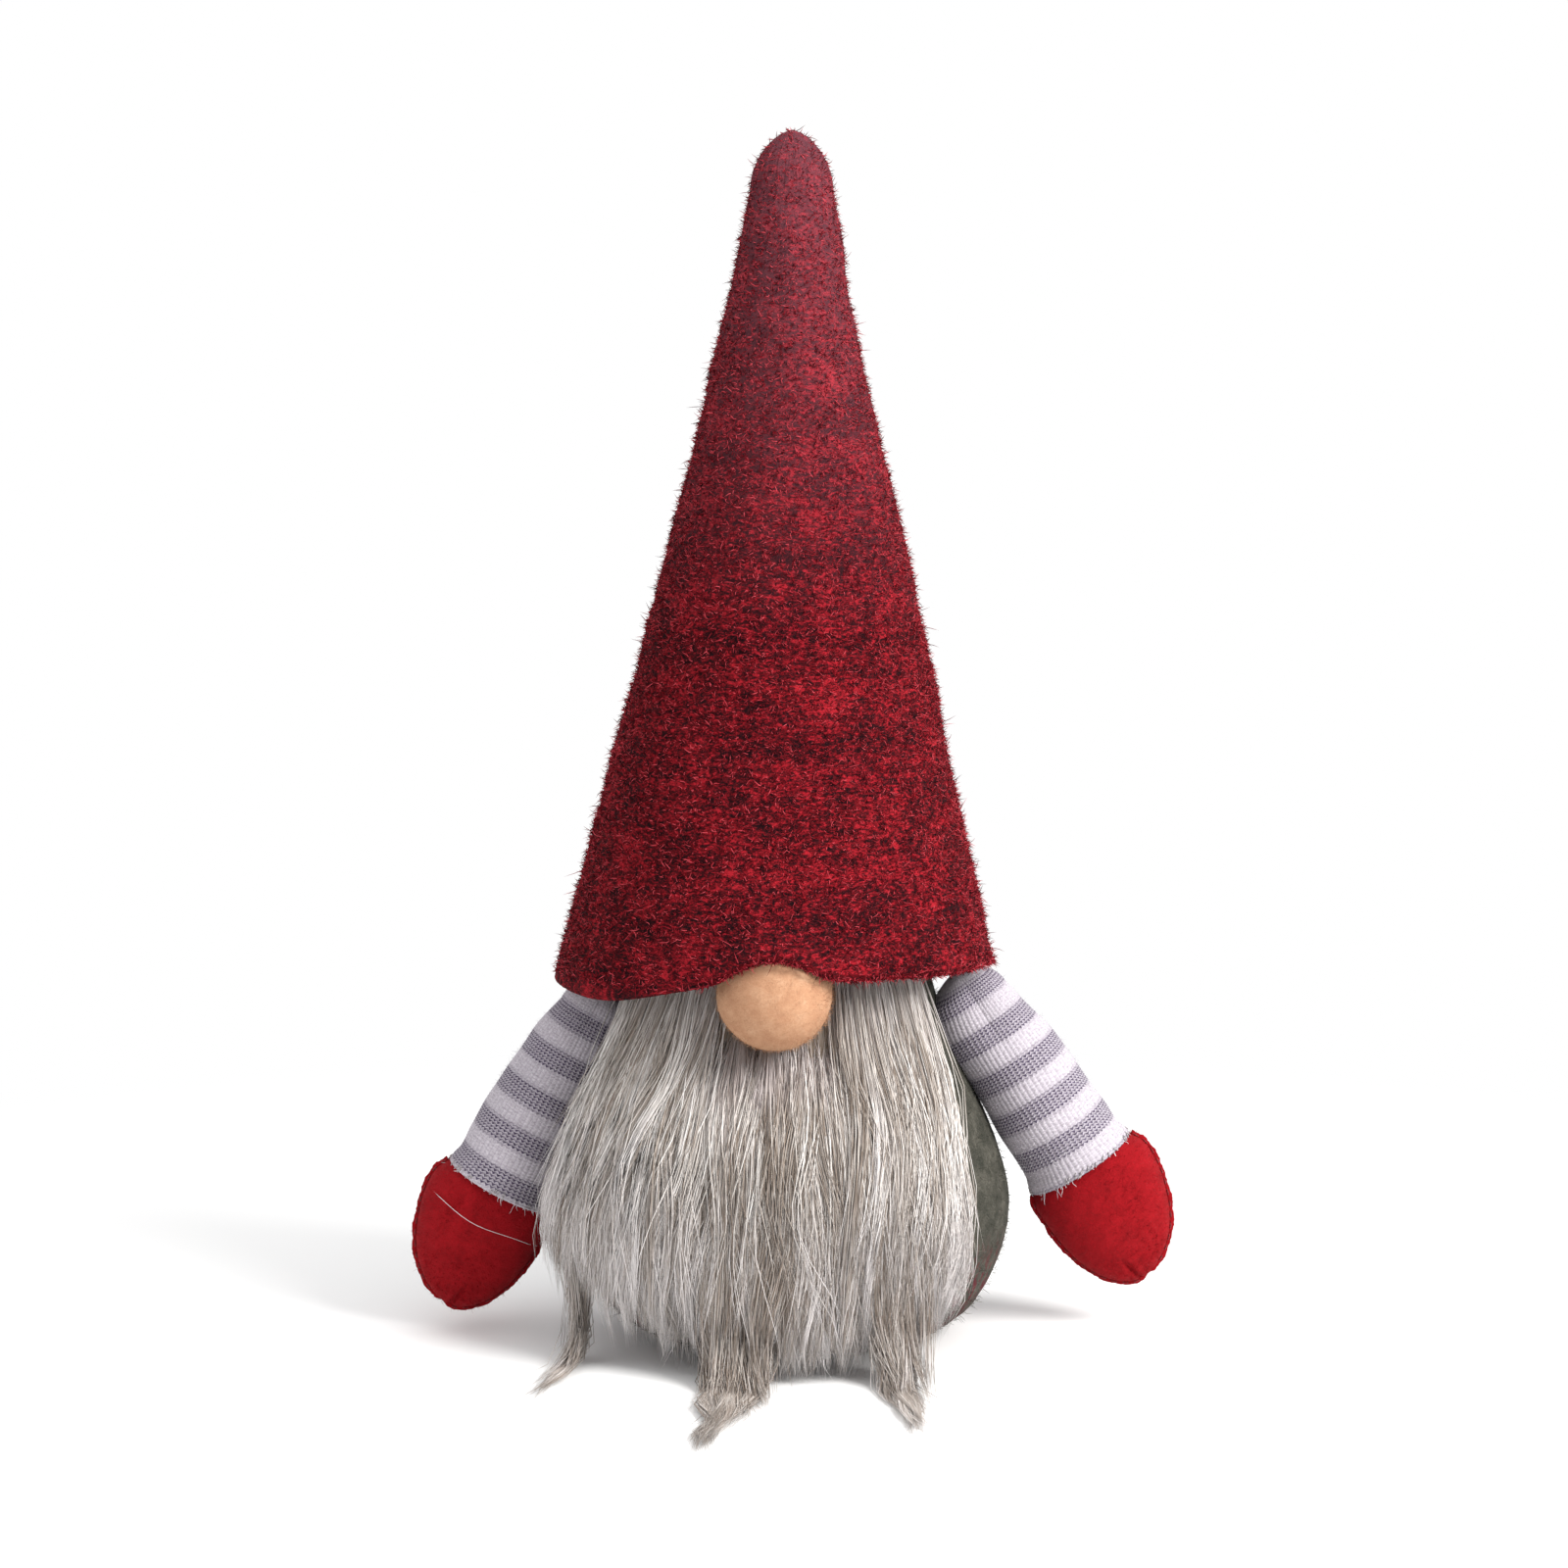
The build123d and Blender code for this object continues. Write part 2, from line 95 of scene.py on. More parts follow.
# ------------------------------------------------------------------ shader helpers
def srgb(values):
    """An everyday 0 to 255 colour as the linear one that shaders use."""
    part = [v / 255 for v in values]
    return tuple(c / 12.92 if c <= 0.04045 else ((c + 0.055) / 1.055) ** 2.4 for c in part) + (1.0,)


class Shade:
    """A material and its nodes.  A colour is three numbers from 0 to 255, a socket, or one
    plain number for a grey factor."""

    def __init__(self, name, roughness, sheen, specular):
        self.mat = bpy.data.materials.new(name)
        self.mat.use_nodes = True
        self.tree = self.mat.node_tree
        self.shader = self.tree.nodes["Principled BSDF"]
        constants = {"Roughness": roughness, "Sheen Weight": sheen, "Sheen Roughness": 0.5,
                     "Specular IOR Level": specular}
        for socket, value in constants.items():
            self.shader.inputs[socket].default_value = value

    def give(self, socket, value):
        if isinstance(value, bpy.types.NodeSocket):
            self.tree.links.new(value, socket)
        else:
            socket.default_value = value

    def node(self, kind, inputs, **settings):
        made = self.tree.nodes.new("ShaderNode" + kind)
        for key, value in settings.items():
            setattr(made, key, value)
        for key, value in inputs.items():
            self.give(made.inputs[key], value)
        return made

    def cloth(self, scale=(1, 1), offset=(0, 0)):
        """The piece's own coordinates: millimetres along the cloth, or strand number and share."""
        source = self.node("UVMap", {}, uv_map="cloth").outputs["UV"]
        mapped = self.node("Mapping", {"Vector": source, "Scale": (*scale, 1), "Location": (*offset, 0)})
        return mapped.outputs["Vector"]

    def cloth_xy(self):
        parts = self.node("SeparateXYZ", {"Vector": self.cloth()})
        return parts.outputs["X"], parts.outputs["Y"]

    def noise(self, scale, detail=2.0, roughness=0.5, distortion=0.0, offset=(0, 0)):
        made = self.node("TexNoise", {"Vector": self.cloth(scale, offset), "Scale": 1.0, "Detail": detail,
                                      "Roughness": roughness, "Distortion": distortion})
        return made.outputs["Fac"]

    def ramp(self, factor, stops, mode="LINEAR"):
        made = self.node("ValToRGB", {"Fac": factor})
        made.color_ramp.interpolation = mode
        elements = made.color_ramp.elements
        elements.remove(elements[1])
        elements[0].position = stops[0][0]
        for place, _ in stops[1:]:
            elements.new(place)
        for element, (_, colour) in zip(elements, stops):
            element.color = srgb(colour) if isinstance(colour, tuple) else (colour, colour, colour, 1)
        return made.outputs["Color"]

    def mix(self, factor, a, b):
        made = self.tree.nodes.new("ShaderNodeMix")
        made.data_type = "RGBA"
        for socket, value in ((0, factor), (6, a), (7, b)):
            self.give(made.inputs[socket], srgb(value) if isinstance(value, tuple) else value)
        return made.outputs[2]

    def maths(self, operation, a, b=0.0):
        return self.node("Math", {0: a, 1: b}, operation=operation).outputs[0]

    def done(self, colour, height=None, relief=0.0):
        """The finished material, with bumps of height that stand out by relief."""
        self.give(self.shader.inputs["Base Color"], colour)
        if height is not None:
            bump = self.node("Bump", {"Height": height, "Distance": relief * MM, "Strength": 1.0})
            self.give(self.shader.inputs["Normal"], bump.outputs["Normal"])
        return self.mat


# ------------------------------------------------------------------ materials
def melange_wool():
    """Thick carded red wool: short level flecks of near-black, maroon and crimson, faded towards
    the tip."""
    wool = Shade("melange_wool", 0.95, 0.0, 0.1)
    streaks = wool.noise((0.46, 0.95), 4.0, 0.75, 0.8)
    flecks = wool.noise((1.1, 2.2), 3.0, 0.75, 0.5, (31, 7))
    patches = wool.noise((0.075, 0.11), 2.0, 0.6, offset=(3, 50))
    fibres = wool.noise((3.0, 5.0), 2.0, 0.7, 1.0, (9, 2))
    blend = wool.mix(0.42, streaks, flecks)
    colour = wool.ramp(wool.mix(0.19, blend, patches), [
        (0.43, (24, 6, 11)), (0.475, (56, 9, 16)), (0.52, (104, 13, 22)), (0.575, (170, 30, 42))])
    colour = wool.mix(wool.ramp(fibres, [(0.60, 0.0), (0.74, 0.5)]), colour, (172, 66, 74))
    colour = wool.mix(wool.ramp(fibres, [(0.28, 0.6), (0.42, 0.0)]), colour, (34, 7, 13))
    _, height = wool.cloth_xy()
    faded = wool.ramp(wool.maths("DIVIDE", height, 175.0), [(0.4, 0.0), (0.95, 0.38)])
    return wool.done(wool.mix(faded, colour, (152, 88, 100)), wool.mix(0.5, blend, fibres), 0.7)


def fibre_material(name, dark, mid, light):
    """Single wool or fur fibres, each with its own number from dark to light."""
    fibre = Shade(name, 0.9, 0.0, 0.05)
    number, _ = fibre.cloth_xy()
    return fibre.done(fibre.ramp(number, [(0.0, dark), (0.5, mid), (1.0, light)]))


def beard_hair():
    """Silver-grey guard hair over warm brown-grey under-hair, paler at the tips and the roots, partly with
    painted light.
    """
    hair = Shade("beard_hair", 0.55, 0.2, 0.35)
    number, along = hair.cloth_xy()
    colour = hair.ramp(number, [
        (0.0, (118, 101, 88)), (0.2, (152, 138, 126)), (0.45, (186, 176, 168)),
        (0.75, (213, 206, 201)), (1.0, (240, 236, 233))])
    streak = hair.noise((60, 7))
    colour = hair.mix(hair.ramp(streak, [(0.45, 0.0), (0.68, 0.6)]), colour, (226, 221, 217))
    colour = hair.mix(hair.ramp(streak, [(0.32, 0.6), (0.5, 0.0)]), colour, (122, 107, 94))
    # paler tips: partly the hair's own pale ends, partly painted light that lifts the shaded underside of
    # the beard
    tip = hair.ramp(along, [(0.5, 0.0), (0.95, 0.75)])
    pale = hair.ramp(number, [(0.25, 0.1), (0.5, 1.0)])
    colour = hair.mix(hair.maths("MULTIPLY", tip, pale), colour, (238, 233, 234))
    # pale lilac near the roots: partly the hair's colour there, partly painted light against the brim's
    # shadow
    return hair.done(hair.mix(hair.ramp(along, [(0.0, 0.5), (0.25, 0.0)]), colour, (222, 214, 218)))


def under_fur():
    """The dense brown-grey hair below, seen only between the locks."""
    fur = Shade("under_fur", 0.8, 0.2, 0.2)
    grain = fur.noise((2.4, 0.12), 3.0, 0.6)
    colour = fur.ramp(grain, [(0.3, (98, 84, 72)), (0.5, (140, 125, 112)), (0.7, (180, 167, 156))])
    return fur.done(colour, grain, 0.8)


def wool_felt(name, dark, mid, light, relief, grain, hem=None):
    """Pressed wool felt: tangled fibres, mottled colour and pilled specks; hem is the colour of
    the coarse flecks in its lowest two centimetres."""
    felt = Shade(name, 0.95, 0.0, 0.15)
    blotch = felt.noise((0.22 * grain, 0.22 * grain), 3.0, 0.6)
    tangle = felt.noise((1.6 * grain, 1.6 * grain), 4.0, 0.75, 1.2, (5, 5))
    specks = felt.noise((3.2 * grain, 3.2 * grain), 1.0, offset=(15, 3))
    colour = felt.ramp(felt.mix(0.5, blotch, tangle), [(0.33, dark), (0.5, mid), (0.68, light)])
    colour = felt.mix(felt.ramp(specks, [(0.62, 0.0), (0.72, 0.35)]), colour, light)
    if hem:
        _, height = felt.cloth_xy()
        low = felt.ramp(felt.maths("DIVIDE", height, 40.0), [(0.35, 1.0), (0.6, 0.0)])
        coarse = felt.ramp(felt.noise((0.5, 0.3), 3.0, 0.7, offset=(2, 9)), [(0.50, 0.0), (0.56, 0.8)])
        colour = felt.mix(felt.maths("MULTIPLY", low, coarse), colour, hem)
    return felt.done(colour, felt.mix(0.6, blotch, tangle), relief)


STRIPE = 9.0                      # one purple-grey and one white band together
WALE, COURSE = 0.90, 0.66         # one knit stitch, across and along


def jersey(name, shift):
    """Striped jersey: the bands change between courses, along the stitches' V, and shift moves
    them down the arm.  The grey bands are dark and white yarn knitted together."""
    knit = Shade(name, 0.9, 0.1, 0.1)
    across, along = knit.cloth_xy()
    wale = knit.maths("FRACT", knit.maths("DIVIDE", across, WALE))
    leg = knit.maths("ABSOLUTE", knit.maths("SUBTRACT", wale, 0.5))
    course = knit.maths("ADD", knit.maths("DIVIDE", along, COURSE), leg)
    stepped = knit.maths("MULTIPLY", knit.maths("FLOOR", course), COURSE)
    wander = knit.maths("MULTIPLY", knit.noise((0.12, 0.05)), 0.9)
    place = knit.maths("ADD", knit.maths("ADD", stepped, wander), STRIPE * 4 - shift)
    phase = knit.maths("FRACT", knit.maths("DIVIDE", place, STRIPE))
    band = knit.ramp(phase, [(0.0, 0.9), (0.22, 1.0), (0.30, 0.15), (0.36, 0.0), (0.66, 0.0),
                             (0.72, 0.2), (0.80, 1.0)])
    yarn = knit.noise((1.1, 2.6), 3.0, 0.7)
    pale = knit.ramp(yarn, [(0.3, (158, 150, 158)), (0.5, (183, 176, 184)), (0.7, (206, 200, 207))])
    deep = knit.ramp(yarn, [(0.3, (46, 37, 55)), (0.5, (66, 56, 77)), (0.7, (96, 86, 108))])
    loop = knit.maths("ABSOLUTE", knit.maths("SUBTRACT", knit.maths("FRACT", course), 0.5))
    shows = knit.ramp(knit.maths("ADD", loop, knit.maths("MULTIPLY", leg, 0.7)),
                      [(0.28, 1.0), (0.52, 0.25)])
    colour = knit.mix(knit.maths("MULTIPLY", band, shows), pale, deep)
    gap = knit.ramp(leg, [(0.34, 0.0), (0.5, 0.35)])
    return knit.done(knit.mix(gap, colour, (128, 120, 136)), yarn, 0.18)


def thread_material(name, colour, dark):
    thread = Shade(name, 0.7, 0.2, 0.3)
    wave = thread.node("TexWave", {"Vector": thread.cloth(), "Scale": 1.6, "Distortion": 1.0},
                       bands_direction="DIAGONAL")
    twist = wave.outputs["Fac"]
    return thread.done(thread.mix(twist, dark, colour), twist, 0.08)


def hidden_material(name, dark, light, scale, grains=False):
    """For what is inside: card, sand, cotton, fibre; patterned by place, not by cloth."""
    inner = Shade(name, 0.9, 0.1, 0.2)
    place = inner.node("TexCoord", {}).outputs["Object"]
    if grains:
        cells = inner.node("TexVoronoi", {"Vector": place, "Scale": scale}).outputs
        factor = inner.node("SeparateXYZ", {"Vector": cells["Color"]}).outputs["X"]
        height = cells["Distance"]
    else:
        height = inner.node("TexNoise", {"Vector": place, "Scale": scale, "Detail": 4.0, "Roughness": 0.6,
                                         "Distortion": 0.0}).outputs["Fac"]
        factor = height
    return inner.done(inner.ramp(factor, [(0.3, dark), (0.7, light)]), height, 0.3)


# ------------------------------------------------------------------ mesh helpers
def build_mesh(name, points, polygons, uvs, mat):
    """points (n, 3) in millimetres; polygons is a list of index arrays (m, corners);
    uvs one pair for each polygon corner, in the same order."""
    mesh = bpy.data.meshes.new(name)
    mesh.vertices.add(len(points))
    mesh.vertices.foreach_set("co", (np.asarray(points) * MM).astype(np.float32).ravel())
    corners = np.concatenate([p.ravel() for p in polygons])
    counts = np.concatenate([np.full(len(p), p.shape[1]) for p in polygons])
    mesh.loops.add(len(corners))
    mesh.loops.foreach_set("vertex_index", corners.astype(np.int32))
    mesh.polygons.add(len(counts))
    mesh.polygons.foreach_set("loop_start", (np.cumsum(counts) - counts).astype(np.int32))
    mesh.polygons.foreach_set("use_smooth", np.full(len(counts), True))
    mesh.update(calc_edges=True)
    layer = mesh.uv_layers.new(name="cloth")
    layer.data.foreach_set("uv", np.asarray(uvs, np.float32).ravel())
    mesh.materials.append(mat)
    made = bpy.data.objects.new(name, mesh)
    bpy.context.scene.collection.objects.link(made)
    return made


def grid_faces(rows, columns):
    """Quads of a grid with its points row after row and its last column joined to the first."""
    row, column = np.meshgrid(np.arange(rows - 1), np.arange(columns), indexing="ij")
    after = (column + 1) % columns
    quads = np.stack([row * columns + column, row * columns + after,
                      (row + 1) * columns + after, (row + 1) * columns + column], axis=-1)
    return quads.reshape(-1, 4), row.ravel(), column.ravel()


def tube_sheet(name, points, across, along, mat):
    """A closed skin from rings of points (rows, columns, 3), with a fan over each end.
    across (columns + 1) and along (rows) are the cloth coordinates in millimetres."""
    rows, columns, _ = points.shape
    quads, row, column = grid_faces(rows, columns)
    u = np.broadcast_to(across, (rows, columns + 1)) if across.ndim == 1 else across
    v = np.broadcast_to(along[:, None], (rows, columns + 1)) if along.ndim == 1 else along
    corners = [(row, column), (row, column + 1), (row + 1, column + 1), (row + 1, column)]
    uvs = [np.stack([np.stack([u[i], v[i]], axis=-1) for i in corners], axis=1).reshape(-1, 2)]
    verts, polygons = [points.reshape(-1, 3)], [quads]
    step = np.arange(columns)
    for number, end in enumerate((0, rows - 1)):
        ring = end * columns + step
        centre = rows * columns + number
        first, second = (step + 1, step) if end == 0 else (step, step + 1)
        turned = (np.roll(ring, -1), ring) if end == 0 else (ring, np.roll(ring, -1))
        polygons.append(np.stack([*turned, np.full(columns, centre)], axis=-1))
        verts.append(points[end].mean(axis=0, keepdims=True))
        middle = np.stack([(u[end, step] + u[end, step + 1]) / 2, v[end, step]], axis=-1)
        fan = [np.stack([u[end, first], v[end, first]], axis=-1),
               np.stack([u[end, second], v[end, second]], axis=-1), middle]
        uvs.append(np.stack(fan, axis=1).reshape(-1, 2))
    return build_mesh(name, np.concatenate(verts), polygons, np.concatenate(uvs), mat)


def unit(vector):
    return vector / np.linalg.norm(vector, axis=-1, keepdims=True)


def strands(name, paths, radii, numbers, mat, sides=3):
    """Closed tapered strands along paths (n, k, 3), radii (n, k), with one number for each."""
    count, steps, _ = paths.shape
    along = np.gradient(paths, axis=1)
    along /= np.linalg.norm(along, axis=2, keepdims=True) + 1e-9
    side = np.cross(along, np.array([0.31, 0.17, 0.93]))
    side /= np.linalg.norm(side, axis=2, keepdims=True) + 1e-9
    up = np.cross(side, along)
    turn = np.arange(sides) * 2 * math.pi / sides
    ring = (np.cos(turn)[:, None] * side[:, :-1, None] + np.sin(turn)[:, None] * up[:, :-1, None])
    body = paths[:, :-1, None] + radii[:, :-1, None, None] * ring
    each = sides * (steps - 1) + 1
    points = np.concatenate([body.reshape(count, -1, 3), paths[:, -1:]], axis=1)

    quads, row, _ = grid_faces(steps - 1, sides)
    last = sides * (steps - 2) + np.arange(sides)
    tips = np.stack([last, np.roll(last, -1), np.full(sides, each - 1)], axis=-1)
    root = np.arange(sides)[::-1][None]
    first = np.arange(count)[:, None, None] * each
    polygons = [(quads[None] + first).reshape(-1, 4), (tips[None] + first).reshape(-1, 3),
                (root[None] + first).reshape(-1, sides)]
    share = [np.stack([row, row, row + 1, row + 1], axis=-1).ravel() / (steps - 1),
             np.tile([1 - 1 / (steps - 1)] * 2 + [1.0], sides), np.zeros(sides)]
    uvs = [np.stack([np.repeat(numbers, len(s)), np.tile(s, count)], axis=-1) for s in share]
    return build_mesh(name, points.reshape(-1, 3), polygons, np.concatenate(uvs), mat)


def fluff(name, mat, root, away, length, bend, seed, thick, numbers, steps=5):
    """Short curved fibres from root along away, drifting sideways as they go; thick is their
    radius at the root and at the tip."""
    rng = np.random.default_rng(seed)
    count = len(root)
    share = np.linspace(0, 1, steps)[None, :, None]
    drift = unit(rng.normal(size=(count, 1, 3)))
    second = unit(rng.normal(size=(count, 1, 3)))
    far = length[:, None, None]
    paths = (root[:, None] + away[:, None] * far * share
             + drift * far * bend * share**2 + second * far * bend * 0.5 * np.sin(share * 5) * share)
    radii = np.tile(np.linspace(*thick, steps), (count, 1))
    return strands(name, paths, radii, numbers, mat)


def stitches(name, start, end, lift, radius, mat):
    """Short lengths of thread that arch from start to end."""
    steps = 8
    share = np.linspace(0, 1, steps)[None, :, None]
    arch = np.sin(share * math.pi)
    paths = start[:, None] * (1 - share) + end[:, None] * share + arch * lift.reshape(-1, 1, 3)
    radii = radius * np.clip(np.sin(np.linspace(0.25, math.pi - 0.05, steps)) * 1.6, 0.35, 1)
    count = len(start)
    return strands(name, paths, np.tile(radii, (count, 1)), np.linspace(0, 1, count), mat, 6)


def finish(piece, body):
    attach(piece, body)


def smooth_noise(shape, cells, seed, closed=True):
    """Smooth random heights from -1 to 1 on a grid, with so many cells each way; closed makes
    the last column meet the first."""
    knots = np.random.default_rng(seed).uniform(-1, 1, (cells[0] + 1, cells[1] + 1))
    if closed:
        knots[:, -1] = knots[:, 0]

    def spread(values, size):
        place = np.linspace(0, values.shape[0] - 1, size)
        low = np.minimum(place.astype(int), values.shape[0] - 2)
        share = place - low
        share = (share * share * (3 - 2 * share))[:, None]
        return values[low] * (1 - share) + values[low + 1] * share

    return spread(spread(knots, shape[0]).T, shape[1]).T


def node_tree_of(*names):
    """A tree of CAD surfaces to cast rays at, in millimetres."""
    points, faces = [], []
    for name in names:
        mesh = frame["nodes"][name].data
        start = len(points)
        points += [v.co / MM for v in mesh.vertices]
        faces += [[start + i for i in p.vertices] for p in mesh.polygons]
    return BVHTree.FromPolygons(points, faces)


def reach(tree, centre, direction, far=150.0):
    """How far a CAD surface stands from a point in a direction, seen from outside."""
    hit = tree.ray_cast(centre + direction * far, -direction, far)
    return far - hit[3] if hit[0] is not None else float("nan")


def blur(values, times):
    for _ in range(times):
        left, right = np.roll(values, 1, 1), np.roll(values, -1, 1)
        above = np.vstack([values[:1], values[:-1]])
        below = np.vstack([values[1:], values[-1:]])
        values = (4 * values + left + right + above + below) / 8
    return values


def sample_grid(values, row, column):
    """Values between a grid's points; row and column are in grid steps, and the columns go
    round and round."""
    rows, columns = values.shape
    row = np.clip(row, 0, rows - 1.001)
    low_row = row.astype(int)
    share_row = row - low_row
    column = np.mod(column, columns)
    low = column.astype(int) % columns
    high = (low + 1) % columns
    share = column - np.floor(column)
    first = values[low_row, low] * (1 - share) + values[low_row, high] * share
    second = values[low_row + 1, low] * (1 - share) + values[low_row + 1, high] * share
    return first * (1 - share_row) + second * share_row


def box_mm(name):
    low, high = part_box(name)
    return np.array(low) / MM, np.array(high) / MM


# ------------------------------------------------------------------ body sack
AROUND = 72                        # rays cast round each section of the frame's solids
BACK, FRONT = math.pi / 2, -math.pi / 2      # azimuth of the seams, and of the nose
BODY_TOP = 84.0                    # the felt is gathered in above this height


def azimuths(columns):
    """Angles round the vertical axis, counter-clockwise from the back."""
    return BACK + np.arange(columns) * 2 * math.pi / columns


def from_back(azimuth):
    """The angle to the back seam, the same on both sides."""
    return np.abs((azimuth - BACK + math.pi) % (2 * math.pi) - math.pi)


def body_profile():
    """How far the sack's felt stands from the upright axis, by height and azimuth."""
    tree = node_tree_of("body_shell")
    top = box_mm("body_shell")[1][2]
    heights = np.arange(0.5, top - 2, 1.5)
    turn = azimuths(AROUND)
    radius = np.array([[reach(tree, Vector((0, 0, z)), Vector((math.cos(a), math.sin(a), 0)))
                        for a in turn] for z in heights])
    return heights, radius


BODY_HEIGHTS, BODY_RADIUS = body_profile()


def body_radius(azimuth, z):
    row = (z - BODY_HEIGHTS[0]) / (BODY_HEIGHTS[1] - BODY_HEIGHTS[0])
    return sample_grid(BODY_RADIUS, row, (azimuth - BACK) * AROUND / (2 * math.pi))


def polar(azimuth, radius, z):
    return np.stack([radius * np.cos(azimuth), radius * np.sin(azimuth), z], axis=-1)


def make_body(felt, fibres, thread):
    columns, rows = 200, 110
    turn = azimuths(columns)
    top = box_mm("body_shell")[1][2]
    share = np.linspace(0, 1, rows)
    z = (0.2 + (top - 2.5) * share**1.15)[:, None] + np.zeros((1, columns))
    angle = np.broadcast_to(turn, z.shape)
    radius = body_radius(angle, z)
    lumps = smooth_noise(z.shape, (9, 12), 3)
    small = smooth_noise(z.shape, (40, 70), 4)
    radius = radius + 0.55 * lumps * np.clip(z / 15, 0, 1) + 0.12 * small
    # the felt puckers where it is gathered into the base seam, and dips along the back seam
    pucker = np.cos(angle * 46 + 3 * lumps) * np.exp(-z / 4.0)
    radius += 0.35 * pucker - 0.25
    off = from_back(angle) * radius
    radius -= 0.9 * np.exp(-(off / 0.8) ** 2) - 0.35 * np.exp(-((off - 2.2) / 1.2) ** 2)
    radius += 0.7 * np.cos(angle) ** 4 * np.exp(-((z - 54) / 16) ** 2)
    points = polar(angle, radius, z)
    base_radius = box_mm("base_disc")[1][0]
    inner = [polar(turn, np.full(columns, base_radius + 0.5), np.full(columns, 1.9)),
             polar(turn, np.full(columns, base_radius + 0.45), np.full(columns, 0.5))]
    points = np.concatenate([np.array(inner), points])
    along = np.concatenate([[-4.0, -2.0], z[:, 0]])
    across = np.arange(columns + 1) / columns * 260.0
    body = tube_sheet("felt_sack", points, across, along, felt)
    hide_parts("body_shell")
    finish(body, "torso")

    disc_rows = np.array([(0.9, 0.35), (base_radius - 1.2, 0.10), (base_radius - 0.3, 0.5),
                          (base_radius, 1.0), (base_radius - 0.5, 1.6)])
    rings = np.array([polar(turn, np.full(columns, r), np.full(columns, h)) for r, h in disc_rows])
    disc = tube_sheet("felt_base", rings, across, disc_rows[:, 0], felt)
    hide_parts("base_disc")
    finish(disc, "torso")

    count = 64
    angle = azimuths(count)
    start = polar(angle, np.full(count, base_radius - 2.0), np.full(count, 0.05))
    end = polar(angle + 0.012, body_radius(angle, np.full(count, 3.0)) + 0.1, np.full(count, 2.6))
    whip = stitches("base_whip_stitches", start, end, np.array((0, 0, -0.35)), 0.30, thread)
    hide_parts("base_seam_thread")
    finish(whip, "torso")

    z = np.arange(9.0, 68.0, 3.4)
    half = 0.042
    left, right = np.full(len(z), BACK - half), np.full(len(z), BACK + half)
    start = polar(left, body_radius(left, z) + 0.35, z - 0.7)
    end = polar(right, body_radius(right, z) + 0.35, z + 0.7)
    seam = stitches("back_seam_stitches", start, end, np.array((0, 0.2, 0)), 0.24, thread)
    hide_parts("body_seam_stitches")
    finish(seam, "torso")

    count = 5200
    rng = np.random.default_rng(21)
    angle = rng.uniform(0, 2 * math.pi, count)
    z = rng.uniform(2.5, 82.0, count)
    root = polar(angle, body_radius(angle, z) + 0.1, z)
    outward = polar(angle, np.ones(count), np.zeros(count))
    away = unit(outward + rng.normal(0, 0.9, (count, 3)))
    fuzz = fluff("sack_fluff", fibres, root, away, rng.uniform(0.6, 1.9, count), 0.5, 22,
                 (0.055, 0.02), rng.uniform(0, 1, count))
    finish(fuzz, "torso")


# ------------------------------------------------------------------ nose
def nose_ball():
    low, high = box_mm("nose_ball")
    return (low + high) / 2, (high - low)[0] / 2


def make_nose(felt, fibres):
    centre, radius = nose_ball()
    rows, columns = 72, 120
    tilt = np.linspace(0.03, math.pi - 0.03, rows)[:, None] + np.zeros((1, columns))
    turn = np.broadcast_to(azimuths(columns), tilt.shape)
    away = polar(turn, np.sin(tilt), -np.cos(tilt))
    lump = smooth_noise(tilt.shape, (5, 7), 11) * np.sin(tilt)
    grain = smooth_noise(tilt.shape, (34, 60), 12) * np.sin(tilt)
    size = radius * 0.98 + 0.28 * lump + 0.07 * grain
    points = centre + away * size[..., None]
    across = np.arange(columns + 1) / columns * 70.0
    ball = tube_sheet("nose", points, across, tilt[:, 0] * radius, felt)
    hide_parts("nose_ball")
    finish(ball, "torso")

    count = 4200
    rng = np.random.default_rng(13)
    away = unit(rng.normal(size=(count, 3)))
    root = centre + away * (radius - 0.3)
    lean = unit(away + rng.normal(0, 0.75, (count, 3)))
    fuzz = fluff("nose_fluff", fibres, root, lean, rng.uniform(0.4, 0.9, count), 0.8, 14,
                 (0.035, 0.012), rng.uniform(0, 1, count))
    finish(fuzz, "torso")


# ------------------------------------------------------------------ hat
HAT_WALL = 2.6
NAP_PIECES = 7
NAP_FIBRES = 12400                 # in each piece
TIP_DOME = 12.5                    # height of the rounded tip
TIP_DROP = 1.0                     # how far the wool's tip sags below the frame's
LIP_ROWS = 9                       # of the brim's rolled edge
BRIM_HEIGHT = 75.0
BEND_REACH = 20.0                  # how far the fold spreads each way from its pivot


def hat_axis():
    """A point on the hat's axis at the brim, its direction, and the heights to the tip and to
    the fold's pivot."""
    pivot = next(np.array(j["pos_m"]) / MM for j in frame["joints"] if j["name"] == "hat_bend")
    points = np.array([v.co for v in frame["nodes"]["hat_tip"].data.vertices]) / MM
    top = points[points[:, 2].argmax()]
    axis = unit(top - pivot)
    brim = top + axis * ((BRIM_HEIGHT - top[2]) / axis[2])
    return brim, axis, np.linalg.norm(top - brim), np.linalg.norm(pivot - brim)


HAT_FOOT, HAT_AXIS, HAT_HEIGHT, HAT_PIVOT = hat_axis()
ROUND_TOP = HAT_HEIGHT - TIP_DROP - TIP_DOME       # height where the rounded tip starts
HAT_SIDE = unit(np.cross(np.array((0.0, 1.0, 0.0)), HAT_AXIS))
HAT_BACK = np.cross(HAT_AXIS, HAT_SIDE)


def hat_out(azimuth):
    return np.cos(azimuth)[..., None] * HAT_SIDE + np.sin(azimuth)[..., None] * HAT_BACK


